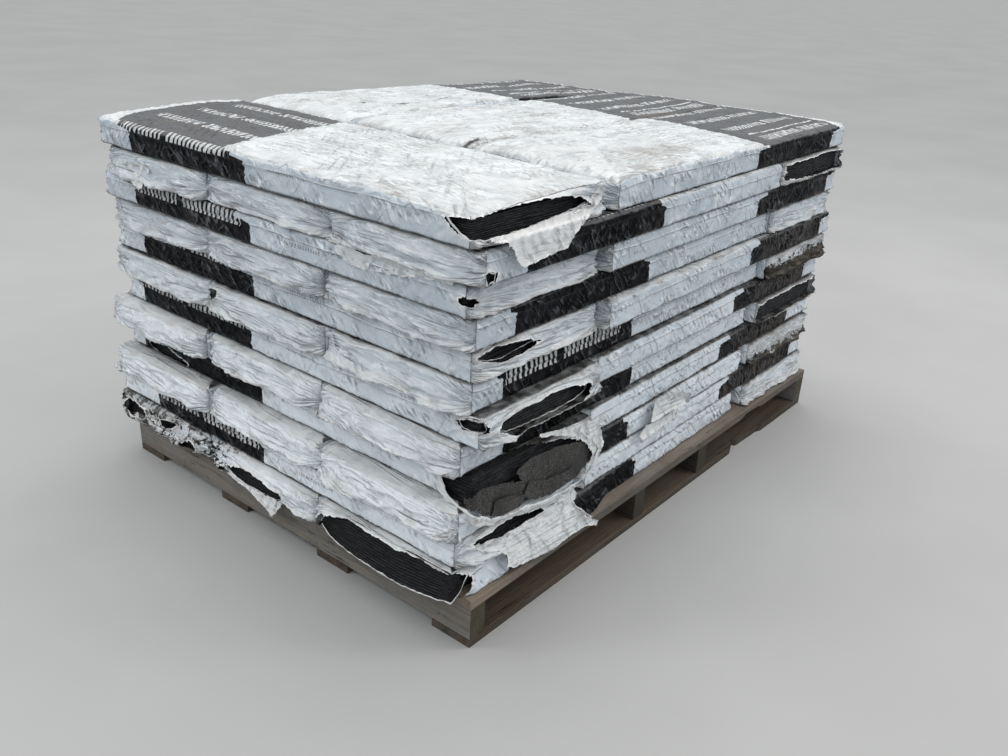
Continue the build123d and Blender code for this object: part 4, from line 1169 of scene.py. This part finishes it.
def sheets(bag, path, z0, z1, count, depth, seed, setback=None, jitter=1.6, droop=None, thick=0.86, step=6.0):
    """Edges of the stacked shingles along an open path of plan points.

    path: list of (x, y, inward x, inward y); setback(s, n) moves sheet n's edge
    inward and droop(s, n) lowers it."""
    P = np.array(path, float)
    seg = np.hypot(*(P[1:, :2] - P[:-1, :2]).T)
    cum = np.concatenate([[0], np.cumsum(seg)])
    n_s = max(3, int(cum[-1] / step))
    sv = np.linspace(0, cum[-1], n_s)
    base = np.stack([np.interp(sv, cum, P[:, c]) for c in range(4)], 1)
    nrm = base[:, 2:]
    nrm = nrm / np.maximum(np.linalg.norm(nrm, axis=1), 1e-9)[:, None]
    pitch_ = (z1 - z0) / count
    for n in range(count):
        zz0 = z0 + n * pitch_
        j = jitter * (gn(n * 3.7, 0.3, seed) + 0.9 * gn(sv / 45.0, n * 1.7, seed + 1) + 0.45 * gn(sv / 9.0, n * 2.3, seed + 2))
        sb = j + (setback(sv, n) if setback else 0)
        dr = droop(sv, n) if droop else 0 * sv
        wob = 0.5 * gn(sv / 70.0, n * 0.9, seed + 4)
        t = pitch_ * thick
        rows = [(depth, 0.0), (1.2, 0.0), (0.2, 0.25), (0.0, 0.5), (0.2, 0.8), (1.2, 1.0), (depth, 1.0)]
        V = []
        for dep, h in rows:
            inward = dep + sb
            fall = dr * math.exp(-dep / 14.0)
            V.append(np.stack([base[:, 0] + nrm[:, 0] * inward, base[:, 1] + nrm[:, 1] * inward, zz0 + t * h + wob - fall], 1))
        V = np.concatenate(V)
        Q = grid_quads(len(rows), len(sv), False)
        face = np.concatenate([np.full(len(sv), 0.0 if 0 < r < 6 else 0.5) for r in range(len(rows))])
        st = np.stack([np.tile(sv, len(rows)), np.repeat([r[1] * 4 for r in rows], len(sv)) + n * 5, np.full(len(V), n * 1.0)], 1)
        bag.add(V, Q, st=st, msk=np.stack([face, 0 * face, 0 * face], 1))


def face_path(k, i, s_a, s_b, inset, rc=6.0):
    """Plan path from run s_a to s_b round the near corner of a bundle."""
    x0, y0, _ = places(k)[i]
    pts = []
    for s in np.arange(s_a, s_b + 0.1, 4.0):
        if s < -rc:
            pts.append((x0 + inset, y0 - s, 1, 0))
        elif s < rc:
            a = (s + rc) / (2 * rc) * math.pi / 2
            pts.append((x0 + inset + rc * (1 - math.cos(a * 0 + (math.pi / 2 - a) * 0 + 0)) + rc * (1 - math.cos(a)), y0 + inset + rc * (1 - math.sin(a)), math.cos(a), math.sin(a)))
        else:
            pts.append((x0 + s, y0 + inset, 0, 1))
    return pts


def shingle_layer(k):
    bag = Bag()
    z0 = layer_z(k)
    for i, (x0, y0, lengthwise) in enumerate(places(k)):
        Lx, Ly = (1002.0, 336.0) if lengthwise else (336.0, 1002.0)
        tears = TEARS.get((k, i), [])
        cut = {"W": 0.0, "S": 0.0}
        spans = []
        for poly in tears:
            ss = [p[0] for p in poly]
            spans.append((min(ss) - 14, max(ss) + 14))
        for a, b in spans:
            if a < 0:
                cut["W"] = 26.0
            if b > 0:
                cut["S"] = 26.0
        lo = (x0 + CORE_IN + cut["W"], y0 + CORE_IN + cut["S"], z0 + 2.2)
        low = 9.0 if (k, i) == (1, 0) else 16.0 if k == 1 else 0.0
        hi = (x0 + Lx - CORE_IN, y0 + Ly - CORE_IN, z0 + H - 4.0 - low)
        box_quads(bag, lo, hi)
        # merge spans into one run of sheet edges
        if spans:
            spans.sort()
            merged = [list(spans[0])]
            for a, b in spans[1:]:
                if a < merged[-1][1] + 30:
                    merged[-1][1] = max(b, merged[-1][1])
                else:
                    merged.append([a, b])
            for a, b in merged:
                a, b = max(a, -Ly + 8), min(b, Lx - 8)
                sheets(bag, face_path(k, i, a, b, 4.5), z0 + 2.5, z0 + H - 3.5 - low, 11, 34.0, k * 31 + i, jitter=1.5)
    return bag


# ---------------------------------------------------------------- loose film and slumped shingles
EYE = np.array([-983.33, -821.41, 1093.63])


def on_face(k, i, s, z, out):
    """Points on the near corner's two faces. out stands the point off the face
    along the sight line of the measured outline, so its outline stays put."""
    x0, y0, _ = places(k)[i]
    s, z, out = np.broadcast_arrays(np.asarray(s, float), np.asarray(z, float), np.asarray(out, float))
    right = s >= 0
    P = np.stack([np.where(right, x0 + s, x0), np.where(right, y0, y0 - s), layer_z(k) + z], -1)
    w = smooth(s, -9.0, 9.0)
    n = np.stack([-(1 - w), -w, 0 * w], -1)
    n = n / np.linalg.norm(n, axis=-1, keepdims=True)
    r = EYE - P
    t_ = out / (r * n).sum(-1)
    return P + r * t_[..., None]


def patch(bag, k, i, poly, out, seed, res=4.0, rag=1.0, wr=1.0, lean=0.6, msk=(0.1, 0, 0.8), aux=(0, 0, 0.6), mat=0, band=-30.0, curl=0.0, clean=False):
    """A loose piece of sheet with a torn outline, given on the face."""
    P = np.array(poly, float)
    lo, hi = P.min(0) - 2 * res, P.max(0) + 2 * res
    ns, nz_ = int((hi[0] - lo[0]) / res) + 1, int((hi[1] - lo[1]) / res) + 1
    S, Z = np.meshgrid(np.linspace(lo[0], hi[0], ns), np.linspace(lo[1], hi[1], nz_))
    s, z = S.ravel(), Z.ravel()

    def field(a, b):
        r = rag * (1.5 * gn(a / 9.0, b / 9.0, seed + 1) + 1.1 * gn(a / 4.0, b / 4.0, seed + 2) + 2.0 * gn(a / 26.0, b / 22.0, seed + 3))
        return poly_sd(a, b, P) + r

    f0 = field(s, z)
    c = np.abs(f0) < res * 0.62
    gx = (field(s[c] + 0.5, z[c]) - f0[c]) / 0.5
    gz = (field(s[c], z[c] + 0.5) - f0[c]) / 0.5
    gl = np.maximum(gx * gx + gz * gz, 0.3)
    s[c], z[c] = s[c] - f0[c] * gx / gl, z[c] - f0[c] * gz / gl
    f0[c] = 0
    Q = grid_quads(nz_, ns)
    Q = Q[f0[Q].mean(1) < 0]
    q = s + lean * z + 12 * gn(s / 70, z / 50, seed + 4)
    n1 = gn(q / 42, z / 130, seed + 5)
    n2 = gn((s - 1.3 * lean * z) / 30, z / 90, seed + 6)
    mk = smooth(gn(s / 60, z / 50, seed + 14), -0.3, 0.4)
    o = out(s, z) + wr * (2.8 * ridge(n1, 0.16) + 1.5 * ridge(n2, 0.14) * mk + 2.4 * gn(s / 60, z / 45, seed + 7) + 0.25 * gn(s / 12, z / 10, seed + 8))
    edge = np.exp(-np.maximum(-f0, 0) / 4.0)
    o = o + curl * edge + 0.8 * wr * edge * gn(s / 12, z / 12, seed + 9)
    # painted shade in the crease valleys of the loose sheet
    cavity = 0.6 * ridge(n1 - 0.24, 0.10)
    V = on_face(k, i, s, z, o)
    one = np.ones_like(s)
    sc = np.clip(msk[2] * one + (0 if clean else 0.6) * edge, 0, 1)
    bag.add(V, Q, lab=np.stack([band * one, 0 * one, 0 * one], 1), st=np.stack([s, z + 60, (seed % 89) / 89.0 * one], 1),
            msk=np.stack([msk[0] * one + 0.12 * gn(s / 30, z / 30, seed + 10), msk[1] * one, sc], 1),
            aux=np.stack([aux[0] * one, np.maximum(aux[1], 0.8 * cavity), aux[2] * one], 1), mat=mat)


def rim(bag, k, i, path, width, out, seed, close=False, dirt_and_shade=0.12):
    """A curled, crinkled film edge along a path of (run, height)."""
    P = np.array(path + ([path[0]] if close else []), float)
    seg = np.hypot(*(P[1:] - P[:-1]).T)
    cum = np.concatenate([[0], np.cumsum(seg)])
    n = max(8, int(cum[-1] / 3.2))
    tv = np.linspace(0, cum[-1], n)
    ps, pz = np.interp(tv, cum, P[:, 0]), np.interp(tv, cum, P[:, 1])
    for _ in range(3):
        ps[1:-1], pz[1:-1] = (ps[:-2] + 2 * ps[1:-1] + ps[2:]) / 4, (pz[:-2] + 2 * pz[1:-1] + pz[2:]) / 4
    ps = ps + 1.6 * gn(tv / 17, 0.3, seed)
    pz = pz + 1.6 * gn(tv / 15, 0.7, seed + 1)
    ts, tz_ = np.gradient(ps), np.gradient(pz)
    l = np.maximum(np.hypot(ts, tz_), 1e-6)
    ns_, nz_ = -tz_ / l, ts / l
    w = width * (0.75 + 0.5 * gn(tv / 30, 0.9, seed + 2) + 0.25 * gn(tv / 8, 0.2, seed + 3))
    ph = 0.9 * gn(tv / 35, 0.6, seed + 4)
    rows = []
    for j, a in enumerate(np.linspace(-0.5, 0.5, 7)):
        off = w * a
        o = out + 0.32 * width * np.cos(a * 2.6 + ph) + 0.09 * width * gn(tv / 9, a * 3, seed + 5) * (abs(a) + 0.3)
        rows.append(on_face(k, i, ps + ns_ * off, pz + nz_ * off, o))
    V = np.concatenate(rows)
    m_ = len(tv)
    Q = grid_quads(7, m_)
    one = np.ones(len(V))
    bag.add(V, Q, lab=np.stack([-30 * one, 0 * one, 0 * one], 1), st=np.stack([np.tile(tv, 7), np.repeat(np.arange(7) * 2.0, m_), 0.37 * one], 1),
            msk=np.stack([dirt_and_shade * one, 0 * one, one], 1), aux=np.stack([0 * one, 0 * one, 0.3 * one], 1))


def loose_film(bag, k):
    if k == 1:
        patch(bag, 1, 0, [(36, 10), (80, 7), (141, 9), (218, 15), (287, 22), (322, 44), (344, 30), (304, 0), (265, -27), (248, -45), (193, -48), (152, -53), (132, -55), (118, -42), (104, -20), (88, -6), (58, 0)],
              lambda s, z: 5 + 29 * smooth(-z, -16, 4), 11, rag=0.8, wr=1.2, curl=3.0, msk=(0.16, 0, 0.9))
        rim(bag, 1, 0, [(-49, 45), (-37, 32), (-19, 21), (0, 14.5), (18, 10), (39, 7), (80, 6), (141, 9), (218, 15), (287, 23)], 5.5, 2.5, 12)
    if k == 9:
        # the torn skirt hangs over the layer below
        rim(bag, 9, 0, [(-76, 34), (-66, 14), (-49, -3), (-4, -14), (56, -49), (131, -61), (180, -72), (221, -81), (300, -83), (348, -70), (376, -31), (345, -4), (318, 16), (300, 36)], 11.0, 10.0, 21, dirt_and_shade=0.10)
        patch(bag, 9, 0, [(-80, 30), (-64, 12), (-46, -4), (-4, -12), (30, -30), (58, -46), (60, -58), (20, -44), (-6, -26), (-50, -14), (-84, 10)],
              lambda s, z: 7 + 0 * s, 22, rag=0.8, wr=0.8)
        patch(bag, 9, 0, [(150, 80), (175, 66), (236, 48), (292, 22), (330, -6), (352, -34), (340, -62), (362, -60), (390, -28), (372, 10), (340, 40), (300, 52), (236, 60)],
              lambda s, z: 9 + 0 * s, 23, rag=0.8, wr=1.3, curl=2.0)
        patch(bag, 9, 1, [(244, -13), (268, -4), (330, -18), (408, -44), (404, -66), (322, -60), (262, -62), (238, -58)],
              lambda s, z: 9 + 0.03 * s, 24, rag=0.5, wr=1.0, curl=5.0, msk=(0.05, 0, 0.7))
    if k == 10:
        patch(bag, 10, 0, [(560, -13), (585, 2), (640, -4), (720, -8), (712, -24), (640, -28), (580, -30)],
              lambda s, z: 9 + 0 * s, 26, rag=0.6, wr=1.0, curl=5.0, msk=(0.05, 0, 0.7))
    if k == 11:
        patch(bag, 11, 0, [(40, 25), (66, 17), (120, 5), (200, 2), (273, 0), (300, 9), (326, -1), (353, -38), (412, -90), (446, -113), (441, -121), (396, -104), (361, -102), (328, -104), (295, -106), (262, -102), (215, -93), (170, -85), (148, -72), (146, -46), (123, -27), (67, 2)],
              lambda s, z: 6 + np.minimum((18 - z) * 0.36, 36) + 4 * smooth(s, 330, 450), 31, rag=1.1, wr=1.3, curl=3.0, msk=(0.14, 0, 0.75))
        rim(bag, 11, 0, [(28, 36), (51, 47), (96, 46), (151, 40), (210, 28), (252, 10), (262, 0)], 3.0, 2.0, 32)
        rim(bag, 11, 0, [(300, 9), (330, -4), (356, -40), (412, -88), (446, -112), (450, -104)], 5.0, 30.0, 33)
    if k == 12:
        patch(bag, 12, 1, [(-305, 8), (-278, 1), (-252, -8), (-219, -10), (-174, -10), (-133, -7), (-101, 4), (-125, -29), (-146, -55), (-167, -43), (-198, -31), (-230, -21), (-263, -18), (-293, -11)],
              lambda s, z: 5 + 0.10 * np.maximum(-z, 0), 41, rag=0.8, wr=1.2, curl=2.0, lean=-0.6)
        rim(bag, 12, 1, [(-294, 10), (-241, 29), (-192, 35), (-145, 31), (-108, 24), (-93, 14), (-101, 2), (-133, -8), (-174, -10), (-219, -10), (-252, -8), (-278, 0)], 3.5, 3.0, 42, close=True)
        rim(bag, 12, 0, [(-329, 4), (-312, -12), (-293, -18), (-252, -27), (-185, -31), (-121, -31), (-49, -20), (2, -7), (18, 2), (30, 16), (42, 33)], 4.0, 17.0, 43)
        rim(bag, 12, 0, [(-329, 8), (-320, 26), (-290, 43), (-249, 52), (-210, 52), (-171, 50), (-134, 47), (-97, 53), (-27, 54), (10, 54), (40, 34)], 3.5, 2.5, 44)
    if k == 7:
        rim(bag, 7, 0, [(36, 24), (52, 38), (81, 45), (128, 48), (183, 47), (243, 40), (300, 27), (290, 13), (262, 5), (218, 3), (160, 5), (105, 7), (62, 13)], 3.0, 2.0, 51, close=True)
        rim(bag, 7, 0, [(-43, 43), (-26, 53), (-4, 58), (10, 57), (13, 44), (20, 29), (3, 34), (-19, 30), (-36, 32)], 3.0, 2.0, 52, close=True)
    if k == 5:
        rim(bag, 5, 0, [(10, 42), (25, 50), (56, 52), (93, 49), (133, 41), (164, 31), (134, 27), (95, 24), (70, 22), (50, 25), (31, 29), (14, 35)], 2.4, 1.5, 54, close=True)
    if k == 2:
        rim(bag, 2, 0, [(-2, 19), (6, 25), (12, 21), (25, 18), (18, 12), (20, 4), (12, 8), (7, -1), (2, 3), (1, 11)], 3.0, 2.5, 56, close=True)
        # torn lower edges of two slack ends
        patch(bag, 2, 0, L2LOW, lambda s, z: 9 + 0 * s, 57, rag=1.2, wr=1.6, curl=3.0, lean=-0.5, msk=(0.22, 0, 0.6))
        patch(bag, 2, 2, L2CURL, lambda s, z: 11 + 0 * s, 58, rag=0.9, wr=1.8, curl=4.0, lean=-0.5, msk=(0.12, 0, 1.0))
    if k == 4:
        rim(bag, 4, 2, [(-330, 34), (-322, 8), (-300, -8), (-240, -14), (-170, -13), (-110, -8), (-60, -2)], 7.0, 10.0, 59, dirt_and_shade=0.25)
        rim(bag, 4, 0, [(-320, 30), (-300, 12), (-240, -2), (-160, -8), (-90, -8), (-30, -4)], 5.5, 10.0, 60, dirt_and_shade=0.2)
    if k == 6:
        rim(bag, 6, 0, [(-330, 44), (-322, 18), (-290, -2), (-230, -8), (-150, -8), (-80, -6), (-20, -4)], 6.0, 10.0, 61, dirt_and_shade=0.18)
        rim(bag, 6, 1, [(-320, 14), (-280, -2), (-220, -8), (-150, -8), (-80, -6), (-30, -3)], 5.0, 10.0, 62, dirt_and_shade=0.15)
    if k == 8:
        rim(bag, 8, 2, [(-332, 36), (-325, 12), (-290, -4), (-220, -12), (-150, -12), (-80, -10), (-20, 2)], 7.0, 14.0, 63, dirt_and_shade=0.15)
        rim(bag, 8, 0, [(-325, 30), (-310, 6), (-260, -6), (-180, -9), (-100, -9), (-30, -5)], 5.5, 11.0, 64, dirt_and_shade=0.15)
    if k == 10:
        rim(bag, 10, 0, [(-322, 6), (-290, 4), (-250, 2), (-222, 0)], 4.0, 4.0, 65)


L2LOW = [(-330, 4), (-318, -22), (-296, -34), (-262, -36), (-160, -22), (-100, -12), (-62, -10), (-60, 4), (-110, 6), (-200, 2), (-262, -8)]
L2CURL = [(-290, 12), (-262, 26), (-214, 34), (-196, 22), (-215, 2), (-228, -18), (-246, -24), (-276, -12)]


def drooped2(bag):
    """The middle open end of the lowest layer."""
    up = np.array([(-300, 12), (-241, 32), (-192, 38), (-145, 34), (-108, 27), (-90, 18)], float)
    lo = np.array([(-300, 6), (-278, -3), (-252, -11), (-219, -14), (-174, -14), (-133, -11), (-101, -2), (-90, 8)], float)
    hang_sheets(bag, 1, up, lo, np.arange(-298.0, -90.0, 4.0), 7, 1.0, 8.0, 95)


def drooped(bag):
    """Lowest bundle: its open end has slid out and bends over the deck."""
    up = np.array([(-330, 16), (-320, 28), (-290, 45), (-249, 54), (-171, 52), (-134, 49), (-97, 54), (-27, 55), (14, 50), (26, 40)], float)
    lo = np.array([(-330, 4), (-312, -12), (-293, -18), (-252, -27), (-185, -31), (-121, -31), (-49, -20), (2, -7), (18, 2), (26, 12)], float)
    hang_sheets(bag, 0, up, lo, np.arange(-328.0, 24.0, 4.0), 12, 1.5, 14.5, 90)


def hang_sheets(bag, i, up, lo, s, n, o0, o1, seed):
    """Sheet edges stepping out and down between two outlines."""
    a, b = np.interp(s, up[:, 0], up[:, 1]), np.interp(s, lo[:, 0], lo[:, 1])
    for j in range(n):
        f0, f1 = j / n, (j + 1) / n
        w = 1.1 * gn(s / 60, j * 1.7, seed) + 0.5 * gn(s / 12, j * 2.3, seed + 1)
        z1 = a + (b - a) * f0 + w * 0.5
        z0 = a + (b - a) * f1 + w * 0.5
        o = o0 + o1 * f0 ** 1.2 + w
        rows = [(z1, o - 9.0), (z1, o - 1.0), (z1 - 0.25 * (z1 - z0), o), (z1 - 0.8 * (z1 - z0), o), (z0 + 0.1 * (z1 - z0), o - 1.0), (z0, o - 9.0)]
        V = np.concatenate([on_face(12, i, s, zr, oo) for zr, oo in rows])
        Q = grid_quads(len(rows), len(s), True)
        st = np.stack([np.tile(s, len(rows)), np.repeat([3.2, 3.2, 2.4, 1.0, 0.4, 0.2], len(s)) + j * 5, np.full(len(V), j * 1.0)], 1)
        bag.add(V, Q, st=st, msk=np.zeros((len(V), 3)))


def slumped(bag):
    """Torn shingles that hang out of the open ninth layer, granules outward."""
    g = dict(rag=0.9, wr=0.7, msk=(1.0, 0.25, 0.0), clean=True, res=5.0)
    patch(bag, 9, 0, [(112, 24), (149, 36), (239, 26), (318, 4), (338, -23), (330, -50), (299, -68), (234, -62), (165, -44), (140, -14)],
          lambda s, z: 9.0 - 0.02 * (s - 200) + 0.06 * z, 71, **g)
    patch(bag, 9, 0, [(-24, 8), (18, 30), (83, 14), (136, -4), (152, -32), (101, -42), (47, -36), (7, -8)],
          lambda s, z: 10.0 + 0.05 * z, 72, **g)
    patch(bag, 9, 0, [(150, -8), (200, -30), (290, -40), (300, -66), (230, -70), (170, -58), (140, -36)],
          lambda s, z: 12.5 + 0.02 * z, 73, **g)
    patch(bag, 9, 0, [(60, -12), (110, -20), (146, -36), (130, -54), (84, -50), (52, -38)],
          lambda s, z: 13.5 + 0.02 * z, 74, **g)


# ---------------------------------------------------------------- build film and shingles
for k in range(1, 13):
    fb = Bag()
    for i in range(4):
        film_bundle(fb, k, i)
    loose_film(fb, k)
    fo = fb.build("film_layer_%02d" % k, [FILM])
    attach(fo, "root")
    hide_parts("film_wrap_layer_%02d" % k)
    sb_ = shingle_layer(k)
    if k == 9:
        slumped(sb_)
    if k == 12:
        drooped(sb_)
        drooped2(sb_)
    so = sb_.build("shingle_stack_%02d" % k, [SHINGLE])
    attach(so, "root")
    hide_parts("shingles_layer_%02d" % k)

# ---------------------------------------------------------------- pallet
for name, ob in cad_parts.items():
    if name.startswith(("stringer", "deck_board", "bottom_board")):
        if name.startswith("stringer"):
            mat = WOOD_Y if name in ("stringer_1", "stringer_4") else WOOD_IN_SHADED
        elif name.startswith("deck"):
            mat = WOOD_LEAD if name == "deck_board_1" else WOOD_X
        else:
            mat = WOOD_LOW_SHADED
        for sl in ob.material_slots:
            sl.material = mat

# ---------------------------------------------------------------- floor, light, camera
me = bpy.data.meshes.new("floor")
me.from_pydata([(-60, -60, 0), (60, -60, 0), (60, 60, 0), (-60, 60, 0)], [], [(0, 1, 2, 3)])
floor = bpy.data.objects.new("floor", me)
bpy.context.scene.collection.objects.link(floor)
me.materials.append(floor_material())

world = bpy.data.worlds.new("soft_sky")
bpy.context.scene.world = world
world.use_nodes = True
wt = world.node_tree
bg = wt.nodes["Background"]
tc = wt.nodes.new("ShaderNodeTexCoord")
sx = wt.nodes.new("ShaderNodeSeparateXYZ")
cr = wt.nodes.new("ShaderNodeValToRGB")
wt.links.new(tc.outputs["Generated"], sx.inputs[0])
wt.links.new(sx.outputs[2], cr.inputs[0])
cr.color_ramp.elements[0].position = 0.0
cr.color_ramp.elements[0].color = (0.25, 0.305, 0.36, 1)
cr.color_ramp.elements[1].position = 0.75
cr.color_ramp.elements[1].color = (1.0, 1.0, 1.0, 1)
wt.links.new(cr.outputs[0], bg.inputs[0])
bg.inputs[1].default_value = 1.10


def area(name, loc, target, size, power, color=(1, 1, 1)):
    li = bpy.data.lights.new(name, "AREA")
    li.energy = power
    li.size = size
    li.color = color
    ob = bpy.data.objects.new(name, li)
    ob.location = loc
    ob.rotation_euler = (Vector(target) - Vector(loc)).to_track_quat("-Z", "Y").to_euler()
    bpy.context.scene.collection.objects.link(ob)


area("overhead_soft", (0.4, 0.4, 3.6), (0, 0, 0.5), 2.0, 30.0, (1.0, 0.99, 0.97))
area("side_soft", (2.2, -3.2, 3.4), (0.1, -0.4, 0.3), 1.2, 42.0, (1.0, 0.99, 0.98))
area("left_soft", (-3.4, 2.4, 3.2), (-0.5, 0, 0.3), 1.2, 32.0, (0.95, 0.975, 1.0))

cam = bpy.data.cameras.new("camera")
cam.sensor_width = 36.0
cam.lens = 939.8796 * 36.0 / 1008.0
cam.clip_start, cam.clip_end = 0.05, 200
co = bpy.data.objects.new("camera", cam)
az, el, roll = math.radians(-51.697), math.radians(24.3678), math.radians(3.0542)
back = Vector((math.sin(az) * math.cos(el), -math.cos(az) * math.cos(el), math.sin(el)))
xr = Vector((0, 0, 1)).cross(back).normalized()
yr = back.cross(xr)
xc = math.cos(roll) * xr + math.sin(roll) * yr
yc = -math.sin(roll) * xr + math.cos(roll) * yr
M = Matrix.Identity(4)
for r in range(3):
    M[r][0], M[r][1], M[r][2] = xc[r], yc[r], back[r]
M[0][3], M[1][3], M[2][3] = -1.6643315, -1.3499089, 1.0936346
co.matrix_world = M
bpy.context.scene.collection.objects.link(co)
bpy.context.scene.camera = co
bpy.context.scene.view_settings.view_transform = "Standard"
